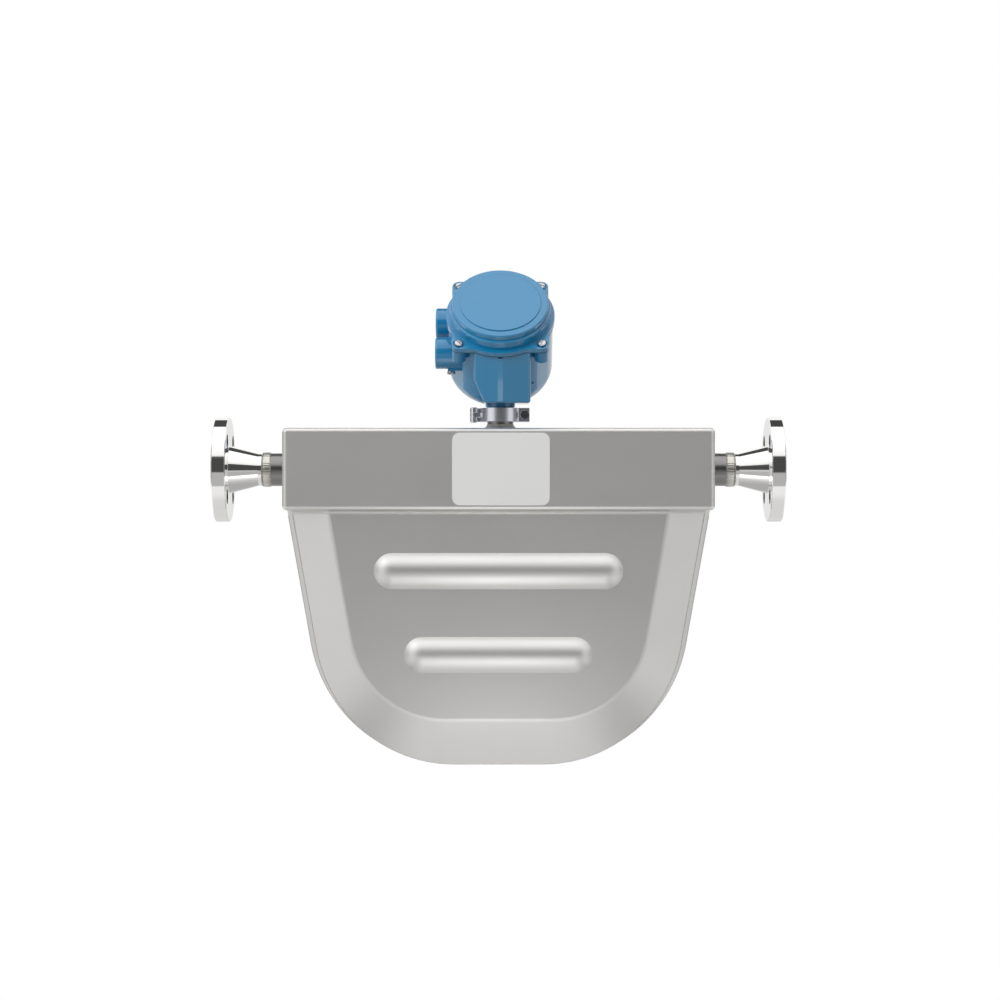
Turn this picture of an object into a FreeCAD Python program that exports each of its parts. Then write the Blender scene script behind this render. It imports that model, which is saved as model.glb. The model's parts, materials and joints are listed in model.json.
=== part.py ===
import FreeCAD, Part
import math
import os

import Sketcher

# Coriolis flow meter: a dual-tube sensor in a welded steel case, carried by two
# weld-neck flanges, with a cast head that swivels on a clamped neck.
#
# Millimetres. The origin is the centre of the inlet flange's raised face.
# +X is the flow direction, +Y is the back of the meter, +Z is up.

SIZES = {
    # Pipe connections
    "face_to_face": 588.0,
    "flange_diameter": 108.0,
    "flange_thickness": 14.3,
    "raised_face_diameter": 50.8,
    "raised_face_height": 1.6,
    "hub_root_diameter": 49.3,
    "hub_tip_diameter": 33.4,
    "hub_end": 49.4,
    "hub_straight": 3.6,
    "pipe_bore": 26.6,
    "bolt_circle": 79.4,
    "bolt_hole": 15.9,
    "bolt_count": 4,
    "rim_chamfer": 0.8,
    "weld_length": 9.9,
    "weld_diameter": 35.4,
    "weld_fade": 1.2,
    "stub_diameter": 34.0,
    # Upper case
    "box_length": 441.0,
    "box_height": 84.0,
    "box_depth": 100.0,
    "box_wall": 3.0,
    "box_edge_radius": 5.0,
    "edge_margin": 0.6,
    "opening_margin": 8.0,
    # Lower case
    "case_top_width": 438.0,
    "case_bottom_width": 344.2,
    "case_height": 262.0,
    "case_corner_radius": 150.0,
    "case_edge_depth": 24.0,
    "case_panel_depth": 44.0,
    "case_strip": 6.2,
    "case_undercut": 0.8,
    "case_step": 0.9,
    "case_wall": 2.5,
    "panel_side_inset": 43.8,
    "panel_bottom_inset": 48.0,
    "panel_corner_radius": 96.0,
    "panel_edge_radius": 9.0,
    "rib_height": 36.6,
    "rib_rise": 9.0,
    "upper_rib_length": 254.0,
    "upper_rib_drop": 104.0,
    "lower_rib_length": 192.0,
    "lower_rib_drop": 189.5,
    "lip_height": 4.8,
    "lip_rise": 2.2,
    # Nameplate, bare
    "plate_length": 99.4,
    "plate_height": 74.0,
    "plate_thickness": 0.8,
    "plate_corner_radius": 8.0,
    "plate_shift": 2.5,
    # Flow tubes and what they carry
    "tube_diameter": 16.0,
    "tube_wall": 1.2,
    "tube_spacing": 40.0,
    "tube_inset": 42.0,
    "tube_clearance": 0.15,
    "brace_length": 66.0,
    "brace_width": 26.0,
    "brace_thickness": 3.0,
    "brace_round": 6.0,
    "upper_brace_drop": 44.0,
    "lower_brace_drop": 64.0,
    "splitter_length": 52.0,
    "splitter_width": 68.0,
    "splitter_height": 46.0,
    "splitter_round": 12.0,
    "chamber_wall": 6.0,
    "chamber_height": 18.0,
    "chamber_round": 8.0,
    "port_diameter": 24.0,
    "port_height": 8.0,
    "socket_depth": 9.0,
    "tube_end_gap": 1.0,
    "coil_diameter": 22.0,
    "coil_bore": 14.0,
    "coil_length": 9.0,
    "magnet_diameter": 10.0,
    "magnet_length": 14.0,
    "saddle_width": 20.0,
    "saddle_thickness": 3.0,
    "pickoff_drop": 97.0,
    "probe_diameter": 6.0,
    "probe_length": 22.0,
    # Neck and clamp
    "neck_shift": 1.8,
    "neck_diameter": 27.0,
    "neck_bore": 20.0,
    "neck_flare": 2.4,
    "rim_diameter": 35.0,
    "rim_height": 3.4,
    "rim_seat": 14.8,
    "seal_thickness": 1.0,
    "running_gap": 0.1,
    "collar_diameter": 31.0,
    "clamp_diameter": 42.0,
    "clamp_height": 14.1,
    "clamp_bottom": 7.5,
    "clamp_gap": 0.3,
    "clamp_clearance": 0.3,
    "lug_reach": 30.2,
    "hinge_reach": 31.5,
    "lug_depth": 9.0,
    "clamp_screw_diameter": 5.0,
    "clamp_screw_head": 8.5,
    "clamp_screw_head_height": 5.0,
    "lug_edge": 0.6,
    "key_socket_width": 5.0,
    "key_socket_depth": 2.5,
    "hinge_barrel_diameter": 8.6,
    "hinge_pin_diameter": 4.0,
    "pin_head_diameter": 6.0,
    "pin_head_height": 0.8,
    "feedthrough_thickness": 5.0,
    # Head
    "head_tilt": 48.0,
    "head_setback": -20.0,
    "head_height": 154.5,
    "bowl_diameter": 108.4,
    "bowl_depth": 88.0,
    "bowl_round": 26.0,
    "cavity_diameter": 94.0,
    "cavity_depth": 60.0,
    "cavity_round": 10.0,
    "block_left": 27.2,
    "block_right": 31.0,
    "block_nose": 5.4,
    "block_prow": 5.0,
    "block_top_reach": 63.0,
    "block_top_height": 130.0,
    "block_bottom_reach": 35.0,
    "block_bottom_height": 4.4,
    "block_round": 3.0,
    "corner_run": 10.7,
    "corner_rise": 24.0,
    "ear_spacing": 84.4,
    "ear_boss_diameter": 15.0,
    "ear_boss_length": 14.4,
    "conduit_diameter": 33.0,
    "conduit_bore": 18.4,
    "conduit_reach": 67.0,
    "conduit_length": 34.0,
    "conduit_depth": 27.7,
    "conduit_spacing": 43.0,
    "conduit_round": 2.0,
    "conduit_thread_length": 17.0,
    "thread_step": 1.5,
    "ground_inset": 16.5,
    "ground_setback": -13.0,
    "ground_height": 101.5,
    "ground_screw_length": 6.0,
    "ledge_length": 14.0,
    "ledge_width": 10.0,
    "ledge_height": 4.0,
    "ledge_shift": 3.5,
    "collar_overlap": 3.0,
    "collar_groove_width": 1.2,
    "collar_groove_depth": 1.0,
    "vent_diameter": 2.6,
    "vent_shift": 33.5,
    "vent_drop": 49.8,
    "vent_depth": 3.0,
    "notch_width": 5.0,
    "notch_height": 2.6,
    "notch_depth": 7.0,
    "wire_way_length": 30.0,
    # Lid
    "lid_diameter": 111.6,
    "lid_flange": 6.0,
    "lid_wall_diameter": 103.4,
    "lid_ledge_height": 16.9,
    "lid_ledge_round": 1.6,
    "lid_crown_diameter": 98.6,
    "lid_crown_height": 23.3,
    "lid_crown_round": 1.5,
    "lid_disc_diameter": 82.8,
    "lid_disc_step": 1.0,
    "lid_inner_diameter": 84.0,
    "lid_roof": 4.5,
    "screw_diameter": 4.0,
    "screw_head": 8.4,
    "screw_head_height": 3.6,
    "screw_seat_diameter": 11.6,
    "screw_seat_depth": 1.2,
    "screw_length": 17.0,
    "screw_end_gap": 1.0,
    "slot_width": 1.2,
    "slot_depth": 1.8,
    "gasket_width": 2.6,
    "gasket_thickness": 1.5,
    "gasket_diameter": 101.0,
    "module_diameter": 70.0,
    "module_height": 34.0,
    "terminal_length": 44.0,
    "terminal_width": 18.0,
    "terminal_height": 9.0,
    "fit": 0.05,
}

doc = FreeCAD.newDocument("FlowMeter")
sheet = doc.addObject("Spreadsheet::Sheet", "Sizes")
for row, (name, value) in enumerate(SIZES.items(), start=1):
    sheet.set("A%d" % row, name)
    sheet.set("B%d" % row, str(value))
    sheet.setAlias("B%d" % row, name)
doc.recompute()


class Size:
    """A number together with the sheet formula that gives it."""

    def __init__(self, value, formula):
        self.value = float(value)
        self.formula = formula

    def __add__(self, other):
        other = as_size(other)
        return Size(self.value + other.value, "(%s + %s)" % (self.formula, other.formula))

    def __sub__(self, other):
        other = as_size(other)
        return Size(self.value - other.value, "(%s - %s)" % (self.formula, other.formula))

    def __mul__(self, other):
        other = as_size(other)
        return Size(self.value * other.value, "(%s * %s)" % (self.formula, other.formula))

    def __truediv__(self, other):
        other = as_size(other)
        return Size(self.value / other.value, "(%s / %s)" % (self.formula, other.formula))

    def __neg__(self):
        return Size(-self.value, "(-1 * %s)" % self.formula)

    def __radd__(self, other):
        return as_size(other) + self

    def __rsub__(self, other):
        return as_size(other) - self

    def __rmul__(self, other):
        return as_size(other) * self


def as_size(number):
    """A plain number as a Size, so that both can be mixed in one formula."""
    return number if isinstance(number, Size) else Size(number, repr(float(number)))


def root(number):
    return Size(math.sqrt(number.value), "sqrt(%s)" % number.formula)


def sine(angle):
    return Size(math.sin(math.radians(angle.value)), "sin(%s)" % angle.formula)


def cosine(angle):
    return Size(math.cos(math.radians(angle.value)), "cos(%s)" % angle.formula)


def slope_angle(slope):
    return Size(math.degrees(math.atan(slope.value)), "(atan(%s) / 1 deg)" % slope.formula)


class Sheet:
    """The spreadsheet's cells, read by name: sizes.box_length is a Size."""

    def __getattr__(self, name):
        return Size(getattr(sheet, name), "Sizes.%s" % name)


sizes = Sheet()
ZERO = as_size(0)

# Values that several pieces share

middle = sizes.face_to_face / 2
neck_x = middle + sizes.neck_shift
box_top = sizes.box_height / 2
tube_radius = sizes.tube_diameter / 2
side_slope = (sizes.case_top_width - sizes.case_bottom_width) / (2 * sizes.case_height)
side_stretch = root(1 + side_slope * side_slope)
side_angle = slope_angle(side_slope)
case_bottom = -(box_top + sizes.case_height)
rim_bottom = box_top + sizes.rim_seat - sizes.rim_height
seal_bottom = box_top + sizes.rim_seat
head_rim_bottom = seal_bottom + sizes.seal_thickness + sizes.running_gap
clamp_floor = box_top + sizes.clamp_bottom
clamp_roof = clamp_floor + sizes.clamp_height
block_bottom = clamp_roof + sizes.block_bottom_height
ear_reach = sizes.ear_spacing / 2
mouth_drop = sizes.splitter_height / 2 + sizes.port_height / side_stretch
socket_length = sizes.port_height + sizes.socket_depth
tube_low = sizes.case_height + box_top - sizes.tube_inset
pickoff_level = tube_low - sizes.pickoff_drop
head_rim_top = head_rim_bottom + sizes.rim_height
hinge_x = sizes.hinge_barrel_diameter / 2 - sizes.hinge_reach
screw_x = sizes.lug_reach - sizes.clamp_screw_head / 2 - sizes.lug_edge
screw_z = (clamp_floor + clamp_roof) / 2
ground_reach = sizes.conduit_reach - sizes.ground_inset
lid_disc_top = sizes.lid_crown_height + sizes.lid_disc_step
screw_seat = sizes.lid_flange - sizes.screw_seat_depth
half_turn = as_size(180)
quarter_turn = as_size(90)


def case_half_width(drop, inset):
    """Half the case's width at a depth below the axis, inset square to its side."""
    return sizes.case_top_width / 2 - (drop - box_top) * side_slope - inset * side_stretch


pickoff_half = case_half_width(pickoff_level, sizes.tube_inset)

# Drawing helpers


def bind(item, prop, size):
    """Tie a property to the sheet."""
    item.setExpression(prop, as_size(size).formula)


def new_body(label, x=ZERO, y=ZERO, z=ZERO, axis=None, angle=ZERO):
    """An empty body at its place, turned about an axis through its own origin."""
    body = doc.addObject("PartDesign::Body", label)
    body.Label = label
    turn = FreeCAD.Rotation(FreeCAD.Vector(*(axis or (0, 0, 1))), as_size(angle).value)
    body.Placement = FreeCAD.Placement(FreeCAD.Vector(0, 0, 0), turn)
    for prop, size in (("Base.x", x), ("Base.y", y), ("Base.z", z)):
        bind(body, "Placement." + prop, size)
    if axis:
        bind(body, "Placement.Rotation.Angle", angle)
    return body


def origin_plane(body, role):
    return [item for item in body.Origin.OriginFeatures if item.Role == role][0]


def new_sketch(body, name, role, offset=ZERO, shift=None, axis=None, angle=ZERO):
    """A sketch on one of the body's own planes, lifted off it and turned about an axis."""
    sketch = body.newObject("Sketcher::SketchObject", body.Label + "_" + name)
    sketch.AttachmentSupport = (origin_plane(body, role), [""])
    sketch.MapMode = "FlatFace"
    turn = FreeCAD.Rotation(FreeCAD.Vector(*(axis or (0, 0, 1))), as_size(angle).value)
    sketch.AttachmentOffset = FreeCAD.Placement(FreeCAD.Vector(0, 0, 0), turn)
    across, along = shift or (ZERO, ZERO)
    for prop, size in (("Base.x", across), ("Base.y", along), ("Base.z", offset)):
        bind(sketch, "AttachmentOffset." + prop, size)
    if axis:
        bind(sketch, "AttachmentOffset.Rotation.Angle", angle)
    return sketch


def fix_point(sketch, geometry, end, x, y):
    """Hold a point of the sketch at sheet-driven distances from the sketch's origin."""
    for kind, axis, size in (("DistanceX", -2, as_size(x)), ("DistanceY", -1, as_size(y))):
        if size.value == 0 and "Sizes" not in size.formula:
            sketch.addConstraint(Sketcher.Constraint("PointOnObject", geometry, end, axis))
        else:
            rule = Sketcher.Constraint(kind, -1, 1, geometry, end, size.value)
            index = sketch.addConstraint(rule)
            sketch.setExpression("Constraints[%d]" % index, size.formula)


def draw_circle(sketch, x, y, radius):
    centre = FreeCAD.Vector(as_size(x).value, as_size(y).value, 0)
    circle = Part.Circle(centre, FreeCAD.Vector(0, 0, 1), radius.value)
    geometry = sketch.addGeometry(circle, False)
    fix_point(sketch, geometry, 3, x, y)
    index = sketch.addConstraint(Sketcher.Constraint("Radius", geometry, radius.value))
    sketch.setExpression("Constraints[%d]" % index, radius.formula)


def corner_vector(corner):
    return FreeCAD.Vector(as_size(corner[0]).value, as_size(corner[1]).value, 0)


def draw_outline(sketch, corners, closed=True):
    """Straight sides through the corners (x, y) or (x, y, radius), rounded where given."""
    count = len(corners)
    spots = [corner_vector(corner) for corner in corners]
    ends = []
    for i, corner in enumerate(corners):
        inner = closed or 0 < i < count - 1
        if len(corner) < 3 or not inner:
            ends.append((spots[i], spots[i], None))
            continue
        back = (spots[i - 1] - spots[i]).normalize()
        ahead = (spots[(i + 1) % count] - spots[i]).normalize()
        half = back.getAngle(ahead) / 2
        reach = corner[2].value / math.tan(half)
        middle_way = (back + ahead).normalize()
        centre = spots[i] + middle_way * (corner[2].value / math.sin(half))
        ends.append((spots[i] + back * reach, spots[i] + ahead * reach, centre))
    lines = []
    for i in range(count if closed else count - 1):
        start, stop = ends[i][1], ends[(i + 1) % count][0]
        lines.append(sketch.addGeometry(Part.LineSegment(start, stop), False))
    for i, corner in enumerate(corners):
        before = lines[i - 1] if closed or i > 0 else None
        after = lines[i] if i < len(lines) else None
        if ends[i][2] is None:
            if before is not None and after is not None:
                sketch.addConstraint(Sketcher.Constraint("Coincident", before, 2, after, 1))
            line, end = (after, 1) if after is not None else (before, 2)
            fix_point(sketch, line, end, corner[0], corner[1])
        else:
            round_corner(sketch, corner, ends[i], before, after)


def round_corner(sketch, corner, end, before, after):
    """A tangent arc between two sides whose sharp corner stays where the sheet puts it."""
    first, last, centre = end
    start = first - centre
    stop = last - centre
    left = start.cross(stop).z > 0
    low, high = (start, stop) if left else (stop, start)
    circle = Part.Circle(centre, FreeCAD.Vector(0, 0, 1), corner[2].value)
    angles = [math.atan2(way.y, way.x) for way in (low, high)]
    arc = sketch.addGeometry(Part.ArcOfCircle(circle, *angles), False)
    near, far = (1, 2) if left else (2, 1)
    spot = sketch.addGeometry(Part.Point(corner_vector(corner)), True)
    fix_point(sketch, spot, 1, corner[0], corner[1])
    sketch.addConstraint(Sketcher.Constraint("PointOnObject", spot, 1, before))
    sketch.addConstraint(Sketcher.Constraint("PointOnObject", spot, 1, after))
    sketch.addConstraint(Sketcher.Constraint("Tangent", before, 2, arc, near))
    sketch.addConstraint(Sketcher.Constraint("Tangent", arc, far, after, 1))
    index = sketch.addConstraint(Sketcher.Constraint("Radius", arc, corner[2].value))
    sketch.setExpression("Constraints[%d]" % index, corner[2].formula)


def rectangle(width, height, x=ZERO, y=ZERO, radius=None):
    """The corners of a rectangle about (x, y), rounded if a radius is given."""
    tail = (radius,) if radius else ()
    return [
        (x - width / 2, y - height / 2) + tail,
        (x + width / 2, y - height / 2) + tail,
        (x + width / 2, y + height / 2) + tail,
        (x - width / 2, y + height / 2) + tail,
    ]


def pad(body, sketch, length, kind="Pad", backwards=False, symmetric=False):
    """Raise a sketch, or cut with it when kind is Pocket, and check that it did so."""
    before = body.Shape.Volume if body.Tip else 0
    feature = body.newObject("PartDesign::" + kind, sketch.Label + "_" + kind)
    feature.Profile = sketch
    feature.Type = "Length"
    bind(feature, "Length", length)
    feature.Reversed = backwards
    if symmetric:
        feature.SideType = "Symmetric"
    doc.recompute()
    changed = body.Shape.Volume - before
    if (changed >= 0) if kind == "Pocket" else (changed <= 0):
        raise ValueError("%s changed nothing" % feature.Label)
    return feature


def cut(body, sketch, length, backwards=False, symmetric=False):
    return pad(body, sketch, length, "Pocket", backwards, symmetric)


def spin(body, sketch, axis="H_Axis", kind="Revolution"):
    """Turn a sketch once round its own axis, or cut with it when kind is Groove."""
    before = body.Shape.Volume if body.Tip else 0
    feature = body.newObject("PartDesign::" + kind, sketch.Label + "_" + kind)
    feature.Profile = sketch
    feature.ReferenceAxis = (sketch, [axis])
    feature.Angle = 360
    doc.recompute()
    changed = body.Shape.Volume - before
    if (changed >= 0) if kind == "Groove" else (changed <= 0):
        raise ValueError("%s changed nothing" % feature.Label)
    return feature


def loft(body, sketches, kind="Additive"):
    """Join or cut a solid with flat sides drawn through the sketches in turn."""
    before = body.Shape.Volume if body.Tip else 0
    feature = body.newObject("PartDesign::%sLoft" % kind, sketches[0].Label + "_Loft")
    feature.Profile = sketches[0]
    feature.Sections = sketches[1:]
    feature.Ruled = True
    doc.recompute()
    changed = body.Shape.Volume - before
    if (changed >= 0) if kind == "Subtractive" else (changed <= 0):
        raise ValueError("%s changed nothing" % feature.Label)
    return feature


def round_edges(body, wanted, radius, kind="Fillet"):
    """Fillet or chamfer the edges of the body's tip that the test picks."""
    doc.recompute()
    base = body.Tip
    names = [
        "Edge%d" % (i + 1) for i, edge in enumerate(base.Shape.Edges) if wanted(edge)
    ]
    feature = body.newObject("PartDesign::" + kind, base.Label + "_" + kind)
    feature.Base = (base, names)
    bind(feature, "Radius" if kind == "Fillet" else "Size", radius)
    doc.recompute()
    return feature


def near(a, b):
    return abs(a - b) < 1e-4


# Pipe connections


def make_flange(label, x, turn):
    """A weld-neck flange, its raised face at the body's origin and its hub along +X."""
    body = new_body(label, x=x, axis=(0, 0, 1), angle=turn)
    rim = sizes.flange_diameter / 2
    back = sizes.raised_face_height + sizes.flange_thickness
    edge = sizes.rim_chamfer
    profile = new_sketch(body, "profile", "XZ_Plane")
    draw_outline(profile, [
        (ZERO, sizes.pipe_bore / 2),
        (ZERO, sizes.raised_face_diameter / 2),
        (sizes.raised_face_height, sizes.raised_face_diameter / 2),
        (sizes.raised_face_height, rim - edge),
        (sizes.raised_face_height + edge, rim),
        (back - edge, rim),
        (back, rim - edge),
        (back, sizes.hub_root_diameter / 2),
        (sizes.hub_end - sizes.hub_straight, sizes.hub_tip_diameter / 2),
        (sizes.hub_end, sizes.hub_tip_diameter / 2),
        (sizes.hub_end, sizes.pipe_bore / 2),
    ])
    spin(body, profile)
    hole = new_sketch(body, "bolt_hole", "YZ_Plane")
    off = sizes.bolt_circle / 2 * root(as_size(0.5))
    draw_circle(hole, off, off, sizes.bolt_hole / 2)
    drilled = cut(body, hole, back + sizes.raised_face_height, backwards=True)
    pattern = body.newObject("PartDesign::PolarPattern", label + "_bolt_holes")
    pattern.Originals = [drilled]
    pattern.Axis = (hole, ["N_Axis"])
    pattern.Angle = 360
    bind(pattern, "Occurrences", sizes.bolt_count)
    body.Tip = pattern
    doc.recompute()
    return body


def make_manifold(label, x, turn):
    """The weld, the pipe stub and the splitter that feeds both tubes."""
    body = new_body(label, x=x, axis=(0, 0, 1), angle=turn)
    port_x = middle - case_half_width(sizes.splitter_height / 2, sizes.tube_inset)
    block_start = port_x - sizes.splitter_length / 2
    weld_end = sizes.hub_end + sizes.weld_length
    bore = sizes.pipe_bore / 2
    profile = new_sketch(body, "profile", "XZ_Plane")
    draw_outline(profile, [
        (sizes.hub_end, bore),
        (sizes.hub_end, sizes.hub_tip_diameter / 2),
        (sizes.hub_end + sizes.weld_fade, sizes.weld_diameter / 2),
        (weld_end - sizes.weld_fade, sizes.weld_diameter / 2),
        (weld_end, sizes.stub_diameter / 2),
        (block_start, sizes.stub_diameter / 2),
        (block_start, bore),
    ])
    spin(body, profile)
    block = new_sketch(body, "block", "YZ_Plane", offset=block_start)
    draw_outline(block, rectangle(
        sizes.splitter_width, sizes.splitter_height, radius=sizes.splitter_round))
    pad(body, block, sizes.splitter_length)
    for side, sign in (("front", -1), ("back", 1)):
        boss = port_sketch(body, side + "_port", sign)
        draw_circle(boss, ZERO, ZERO, sizes.port_diameter / 2)
        pad(body, boss, sizes.port_height + sizes.socket_depth)
    entry = new_sketch(body, "entry", "YZ_Plane", offset=block_start)
    draw_circle(entry, ZERO, ZERO, bore)
    cut(body, entry, sizes.splitter_length / 2, backwards=True)
    chamber = new_sketch(body, "chamber", "YZ_Plane", offset=block_start + sizes.chamber_wall)
    draw_outline(chamber, rectangle(
        sizes.splitter_width - sizes.chamber_wall * 2, sizes.chamber_height,
        radius=sizes.chamber_round))
    cut(body, chamber, sizes.splitter_length - sizes.chamber_wall * 2, backwards=True)
    for side, sign in (("front", -1), ("back", 1)):
        mouth = port_sketch(body, side + "_socket", sign)
        draw_circle(mouth, ZERO, ZERO, tube_radius + sizes.tube_clearance)
        cut(body, mouth, socket_length, backwards=True)
        passage = port_sketch(body, side + "_passage", sign)
        draw_circle(passage, ZERO, ZERO, tube_radius - sizes.tube_wall)
        cut(body, passage, socket_length + sizes.chamber_height / 2, backwards=True)
    return body


def port_sketch(body, name, sign):
    """A sketch across the mouth of one tube port, square to the leaning tube."""
    place = (middle - case_half_width(mouth_drop, sizes.tube_inset),
             sign * sizes.tube_spacing / 2)
    return new_sketch(body, name, "XY_Plane", offset=-mouth_drop, shift=place,
                      axis=(0, 1, 0), angle=-side_angle)


# Case


def make_upper_case():
    """The box round the splitters, open below to the tubes and above to the neck."""
    body = new_body("upper_case", x=middle)
    plan = new_sketch(body, "plan", "XY_Plane", offset=-box_top)
    draw_outline(plan, rectangle(
        sizes.box_length, sizes.box_depth, radius=sizes.box_edge_radius))
    pad(body, plan, sizes.box_height)
    round_edges(body, lambda edge: flat_at(edge, "z", (-box_top.value, box_top.value)),
                sizes.box_edge_radius - sizes.edge_margin)
    hollow = new_sketch(body, "hollow", "XY_Plane", offset=-box_top + sizes.box_wall)
    draw_outline(hollow, rectangle(
        sizes.box_length - sizes.box_wall * 2, sizes.box_depth - sizes.box_wall * 2))
    cut(body, hollow, sizes.box_height - sizes.box_wall * 2, backwards=True)
    mouth = new_sketch(body, "tube_opening", "XY_Plane", offset=-box_top)
    wide = case_half_width(box_top, sizes.case_strip + sizes.opening_margin)
    narrow = case_half_width(box_top, sizes.panel_side_inset + sizes.opening_margin)
    shallow = sizes.case_edge_depth
    deep = sizes.case_panel_depth - sizes.opening_margin
    draw_outline(mouth, [
        (-wide, -shallow), (-narrow, -deep), (narrow, -deep), (wide, -shallow),
        (wide, shallow), (narrow, deep), (-narrow, deep), (-wide, shallow),
    ])
    cut(body, mouth, sizes.box_wall, backwards=True)
    for name, start in (("inlet_hole", -sizes.box_length / 2),
                        ("outlet_hole", sizes.box_length / 2 - sizes.box_wall)):
        hole = new_sketch(body, name, "YZ_Plane", offset=start)
        draw_circle(hole, ZERO, ZERO, sizes.stub_diameter / 2 + sizes.fit)
        cut(body, hole, sizes.box_wall, backwards=True)
    neck_hole = new_sketch(body, "neck_hole", "XY_Plane", offset=box_top)
    draw_circle(neck_hole, sizes.neck_shift, ZERO, sizes.neck_bore / 2)
    cut(body, neck_hole, sizes.box_wall)
    return body


def flat_at(edge, axis, levels):
    """Whether an edge lies wholly in one of the given planes."""
    box = edge.BoundBox
    low, high = {"x": (box.XMin, box.XMax), "y": (box.YMin, box.YMax),
                 "z": (box.ZMin, box.ZMax)}[axis]
    return near(low, high) and any(near(low, level) for level in levels)


def shell_outline(side_inset, bottom_inset, radius, top_drop):
    """The case's outline, inset from its sides and bottom and open to a given height."""
    bottom = case_bottom + bottom_inset
    top_half = case_half_width(top_drop, side_inset)
    low_half = case_half_width(-bottom, side_inset)
    return [
        (-top_half, -top_drop), (-low_half, bottom, radius),
        (low_half, bottom, radius), (top_half, -top_drop),
    ]


def edge_sketch(body, name, inset, depth, top_drop):
    """The case's outline at the depth of its crease."""
    edge = new_sketch(body, name, "XZ_Plane", offset=depth)
    draw_outline(edge, shell_outline(
        sizes.case_strip + inset, sizes.case_undercut + inset,
        sizes.case_corner_radius - sizes.case_strip - inset, top_drop))
    return edge


def shell_sketches(body, name, inset, top_drop):
    """Three outlines from the seam to the panel; inset gives those of the inner surface."""
    seam = new_sketch(body, name + "_seam", "XZ_Plane")
    draw_outline(seam, shell_outline(inset, inset, sizes.case_corner_radius - inset, top_drop))
    edge = edge_sketch(body, name + "_edge", inset, sizes.case_edge_depth - inset / 2, top_drop)
    panel = new_sketch(body, name + "_panel", "XZ_Plane", offset=sizes.case_panel_depth - inset)
    draw_outline(panel, shell_outline(
        sizes.panel_side_inset + inset / 2, sizes.panel_bottom_inset + inset / 2,
        sizes.panel_corner_radius - inset / 2, top_drop))
    return seam, edge, panel


def make_rib(body, name, drop, length, inset, kind):
    """A round-ended bead pressed out of the panel: a rod with a ball at each end."""
    half = sizes.rib_height / 2
    crown = (half * half + sizes.rib_rise * sizes.rib_rise) / (2 * sizes.rib_rise)
    depth = sizes.case_panel_depth + sizes.rib_rise - crown
    straight = length - sizes.rib_height
    rod = new_sketch(body, name + "_rod", "YZ_Plane", offset=-straight / 2)
    draw_circle(rod, -depth, -drop, crown - inset)
    pad(body, rod, straight, "Pocket" if kind == "Subtractive" else "Pad",
        backwards=kind == "Subtractive")
    for end, sign in (("left", -1), ("right", 1)):
        ball = body.newObject("PartDesign::%sSphere" % kind, "%s_%s_%s" % (body.Label, name, end))
        ball.AttachmentSupport = (origin_plane(body, "XY_Plane"), [""])
        ball.MapMode = "FlatFace"
        bind(ball, "Radius", crown - inset)
        bind(ball, "AttachmentOffset.Base.x", sign * straight / 2)
        bind(ball, "AttachmentOffset.Base.y", -depth)
        bind(ball, "AttachmentOffset.Base.z", -drop)
    doc.recompute()


def lip_sketch(body, name, drop, rise):
    """The plan of the welded lip under the box, at a depth below the case's top."""
    level = box_top + drop
    lip = new_sketch(body, "lip_" + name, "XY_Plane", offset=-level)
    wide = case_half_width(level, sizes.case_wall / 2)
    bend = case_half_width(level, sizes.case_strip + sizes.case_step)
    narrow = case_half_width(level, sizes.panel_side_inset)
    shallow = -(sizes.case_edge_depth + rise)
    deep = -(sizes.case_panel_depth + rise)
    draw_outline(lip, [
        (-wide, ZERO), (-bend, shallow), (-narrow, deep),
        (narrow, deep), (bend, shallow), (wide, ZERO),
    ])
    return lip


def make_case_half(label, turn):
    """One pressed half of the lower case, seamed to the other in the plane of the pipe."""
    body = new_body(label, x=middle, axis=(0, 0, 1), angle=turn)
    seam, edge, panel = shell_sketches(body, "outer", ZERO, box_top)
    loft(body, [seam, edge])
    step = edge_sketch(body, "outer_step", sizes.case_step, sizes.case_edge_depth, box_top)
    loft(body, [step, panel])
    panel_y = -sizes.case_panel_depth.value
    top_z = -box_top.value

    def panel_edge(line):
        return flat_at(line, "y", (panel_y,)) and not flat_at(line, "z", (top_z,))

    round_edges(body, panel_edge, sizes.panel_edge_radius)
    ribs = (("upper_rib", sizes.upper_rib_drop, sizes.upper_rib_length),
            ("lower_rib", sizes.lower_rib_drop, sizes.lower_rib_length))
    for name, drop, length in ribs:
        make_rib(body, name, drop, length, ZERO, "Additive")
    top = lip_sketch(body, "top", ZERO, sizes.lip_rise / 2)
    waist = lip_sketch(body, "waist", sizes.lip_height / 2, sizes.lip_rise)
    foot = lip_sketch(body, "foot", sizes.lip_height, -sizes.lip_rise / 2)
    loft(body, [top, waist, foot])
    seam, edge, panel = shell_sketches(body, "inner", sizes.case_wall, box_top - sizes.box_wall)
    loft(body, [seam, edge], "Subtractive")
    loft(body, [edge, panel], "Subtractive")
    for name, drop, length in ribs:
        make_rib(body, name + "_inner", drop, length, sizes.case_wall, "Subtractive")
    return body


def make_nameplate():
    body = new_body("nameplate", x=middle + sizes.plate_shift, y=-sizes.box_depth / 2)
    face = new_sketch(body, "face", "XZ_Plane")
    draw_outline(face, rectangle(
        sizes.plate_length, sizes.plate_height, radius=sizes.plate_corner_radius))
    pad(body, face, sizes.plate_thickness)
    return body


# Flow tubes


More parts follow.
